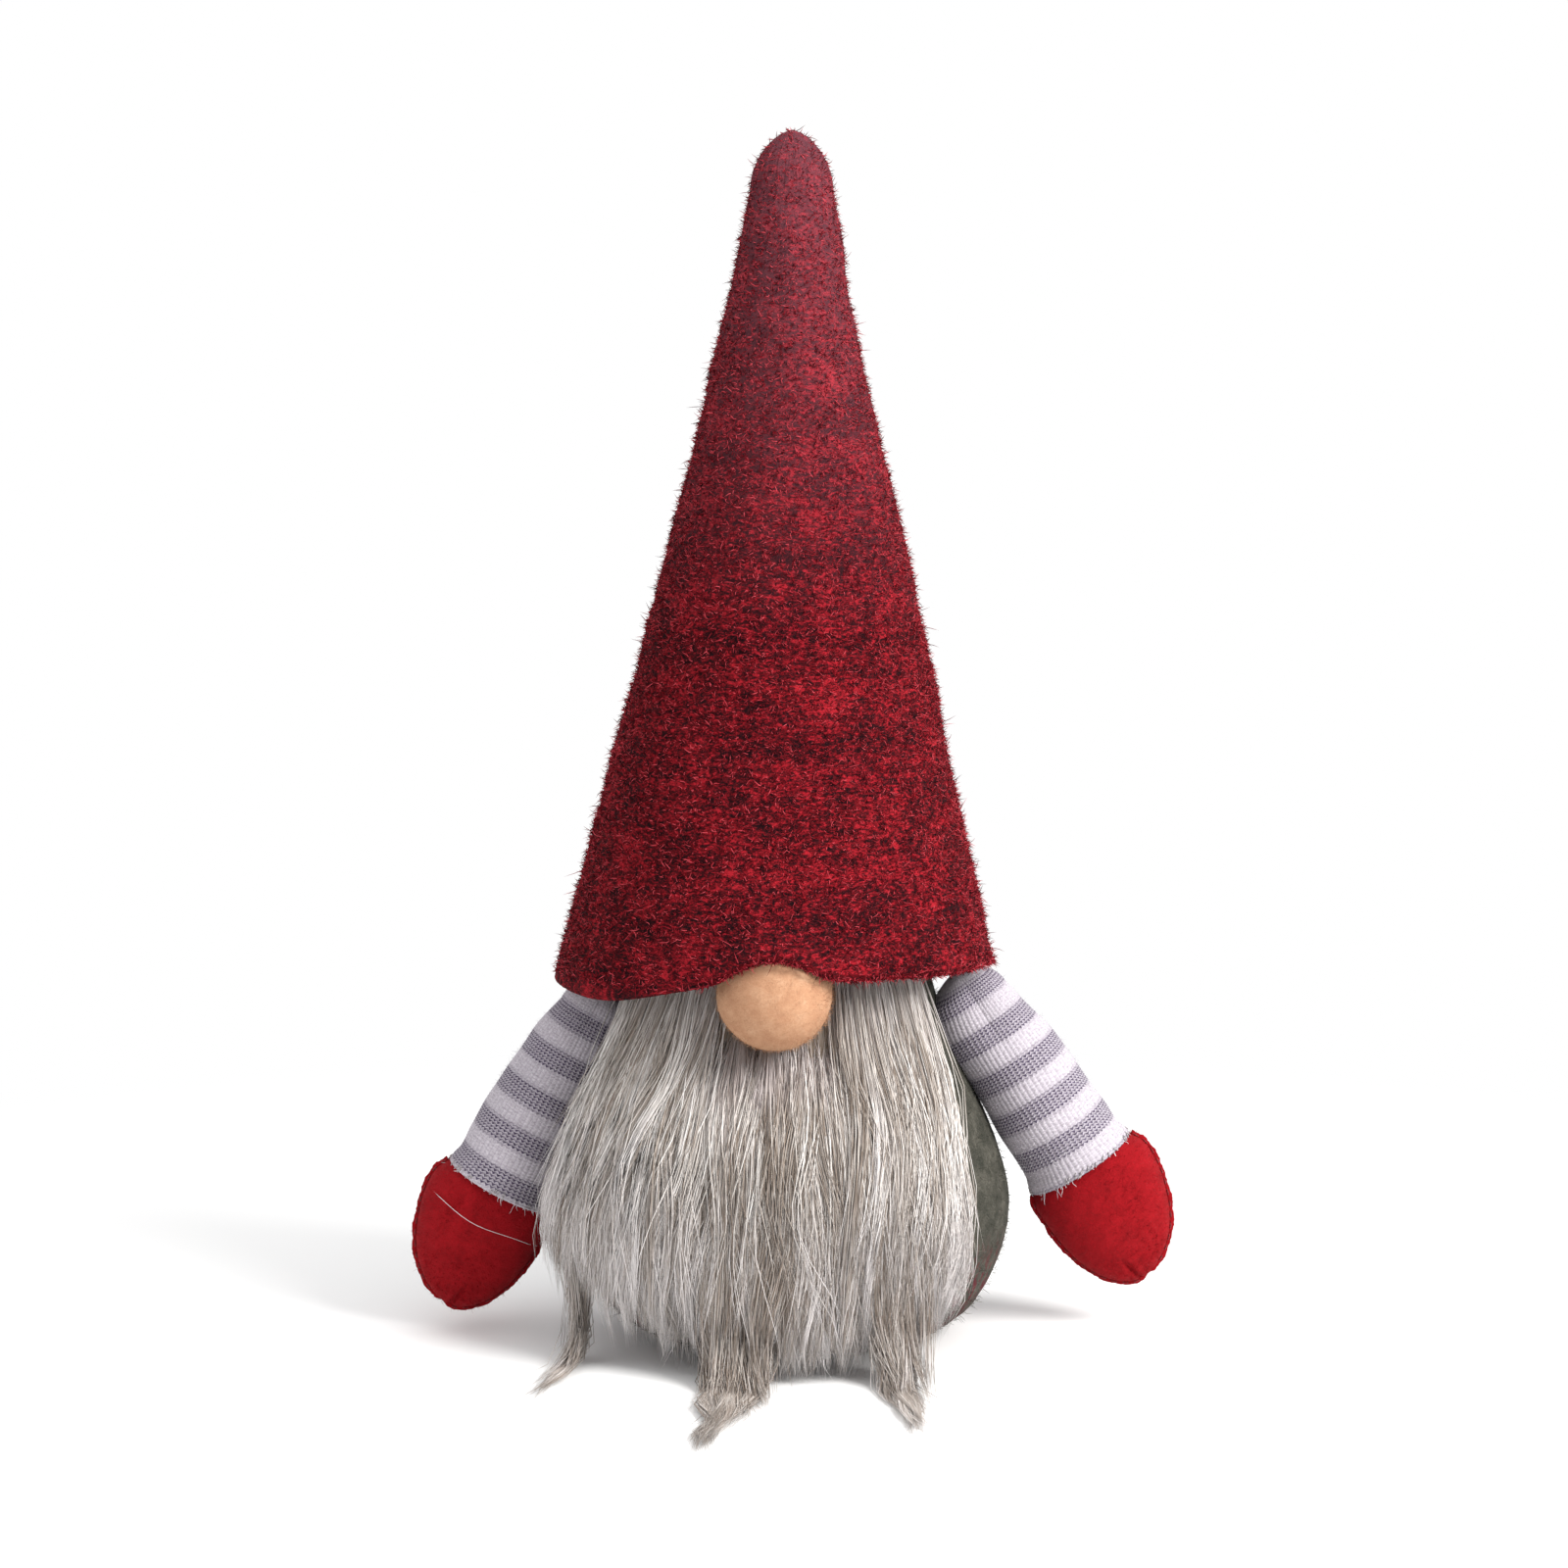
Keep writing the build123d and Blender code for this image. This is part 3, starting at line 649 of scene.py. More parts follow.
def hat_profile():
    """The hat's outside by height and azimuth, and how high the brim's edge is, from the frame."""
    tree = node_tree_of("hat_lower", "hat_bend_zone", "hat_tip")
    heights = np.arange(-4.0, HAT_HEIGHT - 1.0, 2.0)
    turn = azimuths(AROUND)
    directions = [Vector(hat_out(np.array(a))) for a in turn]
    radius = np.full((len(heights), AROUND), np.nan)
    edge = np.zeros(AROUND)
    for column, away in enumerate(directions):
        for row, h in enumerate(heights):
            r = reach(tree, Vector(HAT_FOOT + HAT_AXIS * h), away)
            radius[row, column] = r if r > 4.0 and (h > 20 or r > 38.0) else np.nan
        fine = np.arange(-6.0, 16.0, 0.25)
        found = [h for h in fine if reach(tree, Vector(HAT_FOOT + HAT_AXIS * h), away) > 40.0]
        edge[column] = found[0] if found else 0.0
        known = np.flatnonzero(~np.isnan(radius[:, column]))
        slope = radius[known[1], column] - radius[known[2], column]
        for row in range(known[0] - 1, -1, -1):
            radius[row, column] = radius[row + 1, column] + min(abs(slope), 0.5)
        for row in range(known[-1] + 1, len(heights)):
            radius[row, column] = radius[row - 1, column] * 0.9
    return heights, blur(radius, 3), blur(edge[None], 2)[0]


HAT_HEIGHTS, HAT_RADIUS, HAT_EDGE = hat_profile()
HAT_LUMPS = smooth_noise((64, 128), (8, 9), 31)
HAT_DENTS = smooth_noise((128, 256), (34, 26), 32)
HAT_HEM = smooth_noise((2, 128), (1, 15), 34)[0]
HAT_NAP = np.random.default_rng(33).uniform(-1, 1, (256, 512))


def hat_surface(azimuth, height):
    """The wool's outer radius, with the soft lumps of hand stuffing."""
    turn = (azimuth - BACK) / (2 * math.pi)
    row = (height - HAT_HEIGHTS[0]) / (HAT_HEIGHTS[1] - HAT_HEIGHTS[0])
    radius = sample_grid(HAT_RADIUS, row, turn * AROUND)
    share = np.clip(height / HAT_HEIGHT, 0, 1)
    lump = sample_grid(HAT_LUMPS, share * 63, turn * 128)
    dent = sample_grid(HAT_DENTS, share * 127, turn * 256)
    ease = np.clip((HAT_HEIGHT - height) / 30, 0, 1)
    off = from_back(azimuth) * radius
    seam = -1.1 * np.exp(-(off / 0.9) ** 2) + 0.5 * np.exp(-((off - 2.6) / 1.4) ** 2)
    nap = sample_grid(HAT_NAP, share * 255, turn * 512)
    return radius + ease * (0.6 * lump + 0.28 * dent) + 0.17 * nap + seam * np.clip(radius / 12, 0, 1)


def hat_edge(azimuth):
    turn = (azimuth - BACK) / (2 * math.pi) * AROUND
    edge = sample_grid(np.stack([HAT_EDGE, HAT_EDGE]), np.zeros_like(turn), turn)
    from_nose = (azimuth - FRONT + math.pi) % (2 * math.pi) - math.pi
    wave = sample_grid(np.stack([HAT_HEM, HAT_HEM]), np.zeros_like(turn), turn * 128 / AROUND)
    left_sag = 3.2 * np.exp(-((from_nose + 0.85) / 0.45) ** 2)
    right_sag = 1.3 * np.exp(-((from_nose - 0.75) / 0.5) ** 2)
    return edge + 0.5 * wave + 0.75 + 0.45 * np.cos(azimuth) - left_sag - right_sag


def hat_point(azimuth, radius, height):
    return HAT_FOOT + HAT_AXIS * height[..., None] + hat_out(azimuth) * radius[..., None]


def make_hat(wool, fibres, thread):
    columns, rows = 264, 200
    turn = azimuths(columns)
    edge = hat_edge(turn)
    lip = HAT_WALL / 2
    share = np.linspace(0, 1, rows)[:, None]
    height = (edge + lip) * (1 - share) + ROUND_TOP * share
    outer = hat_point(np.broadcast_to(turn, height.shape), hat_surface(turn, height), height)
    # round off the tip
    dome = np.linspace(0, math.pi / 2 - 0.06, 11)[1:]
    last = hat_surface(turn, np.full(columns, ROUND_TOP))
    domed = ROUND_TOP + TIP_DOME * np.sin(dome)
    cap = np.array([hat_point(turn, last * math.cos(a) ** 1.3, np.full(columns, h))
                    for a, h in zip(dome, domed)])
    # the brim's soft rolled edge, then the inside as far as the stuffing
    bottom = hat_surface(turn, edge + lip)
    roll = np.linspace(0, -math.pi, LIP_ROWS + 2)[1:-1]
    rounded = np.array([hat_point(turn, bottom - lip + lip * math.cos(a), edge + lip + lip * math.sin(a))
                        for a in roll])[::-1]
    depth = np.linspace(15.0, 0.0, 12)
    levels = [edge + lip + d for d in depth]
    inside = np.array([hat_point(turn, hat_surface(turn, h) - HAT_WALL, h) for h in levels])
    points = np.concatenate([inside, rounded, outer, cap])
    # cloth coordinates: up by height, and round by the radius at one azimuth
    below = np.concatenate([-depth - 3.5, np.linspace(-3.2, -0.2, LIP_ROWS)])
    along = np.concatenate([below[:, None] + np.zeros(columns), height, domed[:, None] + np.zeros(columns)])
    along = np.concatenate([along, along[:, :1]], axis=1)
    slant = hat_surface(np.full(rows, 0.3), height[:, 0])
    reach_round = np.concatenate([np.full(len(below), 45.0), slant, last[0] * np.cos(dome)])
    turns = (np.arange(columns + 1) / columns - 0.5) * 2 * math.pi
    hat = tube_sheet("wool_hat", points, turns[None] * reach_round[:, None], along, wool)
    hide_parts("hat_lower", "hat_bend_zone", "hat_tip")
    bend_hat(hat)

    for number in range(NAP_PIECES):
        low, high = number / NAP_PIECES, (number + 1) / NAP_PIECES
        count = NAP_FIBRES
        rng = np.random.default_rng(40 + number)
        h = HAT_HEIGHT * (1 - (1 - rng.uniform(low, high, count)) ** 0.58)
        h = np.clip(h, 0, ROUND_TOP + TIP_DOME - 0.2)
        angle = rng.uniform(0, 2 * math.pi, count)
        h = np.maximum(h, hat_edge(angle) + 0.2)
        size = hat_surface(angle, np.minimum(h, ROUND_TOP))
        size = size * np.clip(1 - (np.maximum(h - ROUND_TOP, 0) / TIP_DOME) ** 2, 0.01, 1) ** 0.65
        root = hat_point(angle, size - 0.1, h)
        away = unit(hat_out(angle) + rng.normal(0, 1.1, (count, 3)))
        nap = fluff(f"hat_nap_{number + 1}", fibres, root, away, rng.gamma(3.0, 0.17, count) + 0.35,
                    0.6, 50 + number, (0.1, 0.05), rng.uniform(0, 1, count) ** 1.3, 4)
        bend_hat(nap)

    h = np.arange(6.0, HAT_HEIGHT - 12, 4.2)
    half = 1.5 / np.maximum(hat_surface(BACK + 0 * h, h), 5)
    start = hat_point(BACK - half, hat_surface(BACK - half, h) + 0.1, h - 0.8)
    end = hat_point(BACK + half, hat_surface(BACK + half, h) + 0.1, h + 0.8)
    seam = stitches("hat_back_stitches", start, end, np.array((0, 0.35, 0)), 0.26, thread)
    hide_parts("hat_seam_stitches")
    bend_hat(seam)


def make_hat_stuffing(fill):
    """The fibre in the fold and the tip: one wad inside the wool round it."""
    turn = azimuths(72)
    height = np.linspace(HAT_PIVOT - BEND_REACH + 0.3, ROUND_TOP + 5.0, 60)[:, None] + 0 * turn[None]
    radius = hat_surface(turn, np.minimum(height, ROUND_TOP))
    radius *= (1 - (np.maximum(height - ROUND_TOP, 0) / TIP_DOME) ** 2) ** 0.65
    radius -= HAT_WALL + 0.8 + 1.4 * np.exp(-((height - HAT_PIVOT) / 16) ** 2)
    points = hat_point(np.broadcast_to(turn, height.shape), radius, height)
    wad = tube_sheet("hat_stuffing", points, np.linspace(0, 120, 73), height[:, 0], fill)
    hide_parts("hat_stuffing_bend_zone", "hat_stuffing_tip")
    bend_hat(wad)


def bend_hat(piece):
    """The hat's wool and what is in it: the placement baked into the points."""
    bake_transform(piece)


# ------------------------------------------------------------------ beard
FUR_TOP = 85.0
FUR_LEFT, FUR_RIGHT = math.radians(-57), math.radians(39)   # measured from the front
WIDEST = 26.0                      # height of the sack's widest ring
FLOOR_BEND = 6.0                   # radius in which a lock turns from the body onto the table


def belly(azimuth, z, hang):
    """The surface that falling hair follows: hang is 0 where it clings to the sack's underside
    and 1 where it drops straight from the widest ring."""
    straight = body_radius(azimuth, np.clip(z, WIDEST, BODY_TOP))
    clinging = body_radius(azimuth, np.clip(z, 4.0, BODY_TOP))
    return clinging + (straight - clinging) * hang


def comb(lock, angle, root_z, length, steps=40, keep=9):
    """Paths of hair that leaves the fur's backing, falls over the body and ends in the air or
    lies out on the table.  lock holds each hair's depth, rise, drift, hang, floor and wave."""
    step = length / steps
    z = root_z.copy()
    paths = np.zeros((len(angle), steps + 1, 3))
    for i in range(steps + 1):
        along = step * i
        out = lock["start"] + (lock["depth"] - lock["start"]) * (1 - np.exp(-along / lock["rise"]))
        past = np.maximum(lock["floor"] + FLOOR_BEND - z, 0)
        arc = FLOOR_BEND * math.pi / 2
        turn = np.minimum(past, arc) / FLOOR_BEND
        height = np.where(past > 0, lock["floor"] + FLOOR_BEND * (1 - np.sin(turn)), z)
        forward = np.where(past > 0, FLOOR_BEND * (1 - np.cos(turn)) + np.maximum(past - arc, 0), 0)
        sway = lock["sway"] * np.sin(2 * math.pi * along / lock["wavelength"] + lock["phase"])
        radius = belly(angle, z, lock["hang"]) + out
        turned = angle + lock["drift"] * (i / steps) ** 1.2 + sway * np.clip(along / 30, 0, 1.2) / radius
        lay = unit(polar(turned, np.full(len(angle), 0.25), 0 * angle) + np.array((0, -0.75, 0)))
        paths[:, i] = polar(turned, radius, height) + lay * forward[:, None]
        slope = belly(angle, z - 1.0, lock["hang"]) - belly(angle, z, lock["hang"])
        z = z - step / np.sqrt(1 + slope**2)
    return paths[:, np.linspace(0, steps, keep).astype(int)]


def make_under_fur(mat):
    """The dense short hair below: a ribbed layer that the locks lie on."""
    columns, rows = 150, 70
    angle = FRONT + np.linspace(FUR_LEFT + 0.02, FUR_RIGHT - 0.02, columns)[None] + np.zeros((rows, 1))
    side = (angle - FRONT) / math.radians(50)
    foot = 9.0 + 9.0 * side**2
    z = (FUR_TOP - 1) + (foot - FUR_TOP + 1) * np.linspace(0, 1, rows)[:, None]
    ribs = smooth_noise((rows, columns), (5, 70), 62, closed=False)
    edge = np.clip(np.minimum(angle - FRONT - FUR_LEFT, FUR_RIGHT + FRONT - angle) / 0.15, 0, 1)
    foot_edge = np.clip((z - foot) / 12, 0, 1)
    deep = 1.7 + 1.5 * np.clip((FUR_TOP - z) / 25, 0, 1)
    deep = deep * (0.2 + 0.8 * edge) * (0.3 + 0.7 * foot_edge)
    felt = body_radius(angle, np.clip(z, 4, BODY_TOP))
    front = polar(angle, felt + deep + 0.6 * ribs * edge, z)
    rear = polar(angle, felt - 0.5, z)
    shell = np.concatenate([front, rear[:, ::-1]], axis=1)[::-1]
    across = np.concatenate([np.linspace(-40, 40, columns), np.linspace(40, -40, columns), [-40]])
    layer = tube_sheet("beard_under_fur", shell, across, np.linspace(0, 80, rows), mat)
    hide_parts("beard_pile")
    finish(layer, "torso")


def plan_locks(rng, count, nose, nose_radius):
    """Where each lock grows and how it falls."""
    offset = rng.uniform(FUR_LEFT, FUR_RIGHT, count)
    side = offset / math.radians(52)
    z = np.where(rng.uniform(size=count) < 0.62, rng.uniform(69, FUR_TOP, count),
                 rng.uniform(34, 74, count))
    below_nose = np.abs(offset + 0.09) * 34 < nose_radius + 1.0
    under_nose = nose[2] - nose_radius - 0.5 + rng.uniform(-14, 1.5, count)
    z = np.where(below_nose, np.minimum(z, under_nose), z)
    tip = 4.0 + 12.0 * side**2 + rng.uniform(-2.0, 6.5, count)
    short = rng.uniform(size=count) < 0.33
    share = np.where(short, rng.uniform(0.6, 0.93, count), rng.uniform(0.94, 1.05, count))
    fan = np.where(offset < 0, 0.15, 0.08) * offset
    lean = 0.17 * np.clip((side - 0.3) / 0.45, 0, 1) * np.clip((z - 60) / 12, 0, 1)
    thick = np.where(offset < 0, 1 + 0.25 * side**2, 1 - 0.45 * np.abs(side))
    return {
        "offset": offset + lean, "root": z, "length": (z - tip) * 1.045 * share,
        "depth": 2.6 + 5.4 * np.clip((z - 34) / 50, 0, 1) * thick + rng.uniform(-1.1, 1.6, count),
        "start": 1.4 + 9.0 * np.clip(-side - 0.45, 0, 0.7) + 13.0 * np.clip(side - 0.42, 0, 0.4),
        "rise": np.where(below_nose, 6.0, 11.0), "drift": fan - 1.7 * lean + rng.normal(0, 0.07, count),
        "hang": np.clip(0.9 - 0.65 * np.abs(side) + rng.normal(0, 0.12, count), 0.1, 1),
        "floor": np.full(count, -30.0), "sway": rng.uniform(0.5, 2.6, count),
        "wavelength": rng.uniform(32, 70, count), "phase": rng.uniform(0, 6.28, count),
        # locks below the nose are toned 0.12 darker: painted shade under the nose
        "tone": np.clip(0.54 + 0.36 * np.sign(rng.normal(size=count)) * rng.uniform(0.2, 1.2, count)
                        - 0.12 * below_nose, 0, 1),
    }


# long locks that lie out across the table: offset from the front, how far, how many locks
LONG_LOCKS = ((-0.24, 1.12, 26), (-0.12, 0.5, 8), (0.39, 0.85, 16), (0.47, 0.4, 5), (-0.93, 0.75, 9))
LONG_REACH = 44.0                  # how far the longest lies out
LONG_HAIRS = 1300                  # in all the long locks
LOCKS, HAIRS, HAIR_PIECES = 900, 33600, 8


def make_beard(hair, under):
    nose, nose_radius = nose_ball()
    make_under_fur(under)
    rng = np.random.default_rng(61)
    locks = plan_locks(rng, LOCKS, nose, nose_radius)
    place = 0
    for offset, share, number in LONG_LOCKS:
        for _ in range(number):
            aside = rng.normal(0, 0.05)
            locks["offset"][place] = offset + aside
            locks["root"][place] = rng.uniform(56, 66) if abs(offset) < 0.3 else rng.uniform(66, 82)
            reach_out = LONG_REACH * share * (1 - 0.75 * rng.uniform() ** 1.5)
            locks["length"][place] = locks["root"][place] * 1.03 + reach_out
            locks["depth"][place] = rng.uniform(4.0, 8.0)
            locks["drift"][place] = 0.06 * offset - 0.85 * aside
            locks["hang"][place] = 0.9
            locks["floor"][place] = rng.uniform(0.2, 1.6)
            locks["tone"][place] = rng.uniform(0.02, 0.34)
            place += 1

    total = HAIRS
    own = rng.integers(0, LOCKS, total)
    own[:LONG_HAIRS] = rng.integers(0, place, LONG_HAIRS)
    lock = {key: value[own] for key, value in locks.items()}
    angle = FRONT + lock["offset"]
    root = np.clip(lock["root"] + rng.normal(0, 1.2, total), 28, FUR_TOP + 1)
    length = lock["length"] * rng.uniform(0.84, 1.05, total)
    length[:LONG_HAIRS] *= 1 - 0.35 * rng.uniform(size=LONG_HAIRS) ** 2
    centre = comb(lock, FRONT + lock["offset"], root, length)
    keep = centre.shape[1]
    t = np.linspace(0, 1, keep)
    around = unit(np.stack([-np.sin(angle), np.cos(angle), 0 * angle], axis=-1))
    outward = polar(angle, np.ones(total), np.zeros(total))
    gather = np.tile((0.4 + 1.1 * np.sin(math.pi * t**0.8) ** 0.8) * (1 - 0.6 * t), (total, 1))
    gather[:LONG_HAIRS] *= 1 - 0.55 * t**2
    jitter = rng.normal(0, 1, (2, total))
    loose = np.where(rng.uniform(size=total) < 0.25, 2.2, 1.0)
    wide = 0.75 * (jitter[0] * loose)[:, None] * gather
    deep = 0.5 * np.abs(jitter[1])[:, None] * gather
    wander = rng.normal(0, 0.32, (total, keep, 2)).cumsum(axis=1) * 0.45
    stray = rng.uniform(size=total) < 0.04
    wide = wide + wander[..., 0] + np.where(stray, rng.normal(0, 3.5, total), 0)[:, None] * t**2
    lifted = np.where(stray, rng.uniform(0.5, 3.0, total), 0)[:, None] * t**1.5
    deep = deep + np.abs(wander[..., 1]) * 0.6 + lifted
    paths = centre + around[:, None] * wide[..., None] + outward[:, None] * deep[..., None]
    paths[..., 2] = np.maximum(paths[..., 2], 0.2)

    # no hair runs through the nose
    away = paths - nose
    distance = np.linalg.norm(away, axis=2, keepdims=True)
    clear = nose_radius + 0.15
    paths = np.where(distance < clear, nose + away / distance * clear, paths)

    number = np.clip(lock["tone"] + rng.normal(0, 0.13, total), 0, 1)
    thick = rng.uniform(0.06, 0.125, total)
    thick[:LONG_HAIRS] *= 0.8
    shape = np.interp(t, [0, 0.1, 0.6, 0.85, 1], [0.8, 1.0, 0.95, 0.6, 0.12])
    radii = thick[:, None] * shape[None]
    for bundle in range(HAIR_PIECES):
        chosen = slice(bundle * total // HAIR_PIECES, (bundle + 1) * total // HAIR_PIECES)
        piece = strands(f"beard_hair_{bundle + 1}", paths[chosen], radii[chosen], number[chosen], hair)
        if bundle == 0:
            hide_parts("beard_tips")
        finish(piece, "torso")


# ------------------------------------------------------------------ arms
class Arm:
    """An arm's frame: along runs from the shoulder to the hand, outer away from the body."""

    def __init__(self, side):
        self.side = side
        joint = next(j for j in frame["joints"] if j["name"] == side + "_shoulder_lift")
        self.shoulder = np.array(joint["pos_m"]) / MM
        low, high = box_mm(side + "_cuff_thread")
        self.along = unit((low + high) / 2 - self.shoulder)
        self.length = np.linalg.norm((low + high) / 2 - self.shoulder) - 0.4
        sign = 1 if side == "right" else -1
        self.outer = unit(np.array((-sign * self.along[2], 0, sign * self.along[0])))
        self.third = np.cross(self.along, self.outer)

    def place(self, x, y, t):
        return (self.shoulder + np.asarray(x)[..., None] * self.outer
                + np.asarray(y)[..., None] * self.third + np.asarray(t)[..., None] * self.along)

    def ring(self, radius, turn, t):
        """Points round the arm, t along it."""
        return self.place(radius * np.cos(turn), radius * np.sin(turn), t)

    def outward(self, turn):
        return self.ring(1.0, turn, 0 * turn) - self.shoulder


WALES, WALE_COLUMNS = 62, 5        # stitches round the sleeve, and mesh columns in each
OVERLAP = 1.6                      # of the sleeve's hem over the mitten
HEM_FLARE = 0.9
INNER_EASE = {"left": 3.2, "right": 4.4}     # extra width where the sleeve meets the sack
# the hem turns under: how far in, and how far along from the edge
HEM_TURN = ((0.25, 0.22), (0.65, 0.2), (0.9, -0.1), (1.0, -1.5))


def sleeve_radius(arm, t):
    """The sleeve's radius down the arm, from the frame, round at the shoulder."""
    tree = node_tree_of(arm.side + "_sleeve")
    samples = np.linspace(0.3, arm.length - 0.3, 40)
    found = [reach(tree, Vector(arm.shoulder + arm.along * s), Vector(arm.outer)) for s in samples]
    radius = np.interp(t, samples, found)
    end = found[0]
    return np.where(t < 0, np.sqrt(np.clip(end**2 - t**2, 0.02, None)), radius)


def make_sleeve(arm, knit, thread, yarn):
    columns, courses = WALES * WALE_COLUMNS, 4
    start = -sleeve_radius(arm, np.array([0.5]))[0] + 0.12
    t = np.arange(start, arm.length + OVERLAP, COURSE / courses)
    turn = np.arange(columns) * 2 * math.pi / columns - math.pi / 2
    radius = sleeve_radius(arm, np.minimum(t, arm.length))[:, None] + np.zeros((1, columns))
    wale = np.arange(columns) / WALE_COLUMNS
    leg = np.abs(wale - np.floor(wale) - 0.5)[None]
    course = (t / COURSE)[:, None]
    stitch = np.cos(2 * math.pi * (course + leg)) * 0.5 + 0.5
    ease = np.clip((t[:, None] - start) / 4, 0, 1)
    creases = smooth_noise(radius.shape, (7, 5), 70 + len(arm.side))
    radius += ease * (0.15 * (1 - 2 * leg) ** 0.5 + 0.11 * stitch - 0.1)
    radius += 0.35 * creases * ease * np.clip((arm.length - t[:, None]) / 6, 0, 1)
    inward = np.clip(-np.cos(turn), 0, 1)[None]
    radius += INNER_EASE[arm.side] * ease * np.exp(-((t[:, None] - 1) / 9) ** 2) * inward
    flare = np.clip((t - arm.length + 4.0) / 5.6, 0, 1)
    radius += (HEM_FLARE * flare**2 + 0.25 * np.exp(-((t - arm.length) / 1.2) ** 2))[:, None]
    points = arm.ring(radius, turn, t[:, None] + 0 * radius)
    last = radius[-1]
    hem = [arm.ring(last - drop, turn, np.full(columns, t[-1] + far)) for drop, far in HEM_TURN]
    points = np.concatenate([points, np.array(hem)])
    along = np.concatenate([t, t[-1] + np.array([0.2, 0.4, 0.6, 2.0])])
    across = np.arange(columns + 1) / WALE_COLUMNS * WALE
    sleeve = tube_sheet(arm.side + "_knit_sleeve", points, across, along, knit)
    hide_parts(arm.side + "_sleeve")
    finish(sleeve, arm.side + "_arm")

    # overcast stitches and loose yarn ends where the hem meets the mitten
    rng = np.random.default_rng(80 + len(arm.side))
    count = 44
    turn = np.sort(rng.uniform(0, 2 * math.pi, count))
    r = last.mean()
    first = arm.ring(r - 0.1, turn, arm.length + rng.uniform(0.2, 0.7, count))
    lean = turn + rng.normal(0.05, 0.05, count)
    second = arm.ring(r + 0.25, lean, arm.length + OVERLAP + rng.uniform(-0.1, 0.35, count))
    whip = stitches(arm.side + "_cuff_stitches", first, second, 0.1 * arm.outward(turn), 0.13, thread)
    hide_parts(arm.side + "_cuff_thread")
    finish(whip, arm.side + "_arm")
    count = 30
    turn = rng.uniform(0, 2 * math.pi, count)
    root = arm.ring(r - 0.3, turn, np.full(count, t[-1]))
    away = unit(arm.along + arm.outward(turn) * 0.35 + rng.normal(0, 0.35, (count, 3)))
    ends = fluff(arm.side + "_cuff_fringe", yarn, root, away, rng.uniform(0.6, 2.4, count), 0.4, 82,
                 (0.10, 0.03), rng.uniform(0, 1, count), 6)
    finish(ends, arm.side + "_arm")
    # fine fluff all over the knit
    count = 2600
    turn = rng.uniform(0, 2 * math.pi, count)
    s = rng.uniform(start + 2, arm.length, count)
    root = arm.ring(sleeve_radius(arm, s), turn, s)
    away = unit(arm.outward(turn) + rng.normal(0, 0.9, (count, 3)))
    fuzz = fluff(arm.side + "_sleeve_fluff", yarn, root, away, rng.uniform(0.4, 1.1, count), 0.6, 83,
                 (0.035, 0.015), rng.uniform(0, 1, count), 4)
    finish(fuzz, arm.side + "_arm")


# mitten: distance from its opening, side shift, half width, half depth
MITTEN = np.array([(0.0, 0.1, 11.2, 10.4), (3.0, 0.3, 12.9, 10.6), (8.5, 0.4, 13.2, 10.0),
                   (14.5, 0.0, 12.2, 8.8), (19.5, -0.4, 10.5, 7.2), (23.5, -0.8, 8.0, 5.4),
                   (26.3, -1.3, 5.0, 3.6), (27.6, -1.6, 2.6, 2.0), (28.2, -1.7, 0.6, 0.5)])
OPENING = 0.8                      # the mitten's opening, past the sleeve's end
FLANGE, FLANGE_THICK = 0.75, 0.7   # the seam allowance, and the felt there
# the allowance's section: how far out in its widths, and how deep in the felt's thickness
FLANGE_SECTION = ((-1.0, 0.05), (0.75, 0.05), (1.0, 0.16), (1.02, 0.45), (0.86, 0.72), (0.3, 0.86),
                  (-1.0, 1.0))
STITCH_PITCH, STITCH = 2.4, 1.3


def mitten_at(t):
    """Side shift, half width and half depth, by smooth curves through the sections."""
    knots = MITTEN[:, 0]
    slopes = np.gradient(MITTEN[:, 1:], knots, axis=0)
    i = np.clip(np.searchsorted(knots, t, side="right") - 1, 0, len(knots) - 2)
    h = knots[i + 1] - knots[i]
    s = ((t - knots[i]) / h)[..., None]
    h = h[..., None]
    a, b = MITTEN[i, 1:], MITTEN[i + 1, 1:]
    value = ((1 + 2 * s) * (1 - s) ** 2 * a + s * (1 - s) ** 2 * h * slopes[i]
             + s * s * (3 - 2 * s) * b + s * s * (s - 1) * h * slopes[i + 1])
    return value[..., 0], np.maximum(value[..., 1], 0.3), np.maximum(value[..., 2], 0.25)


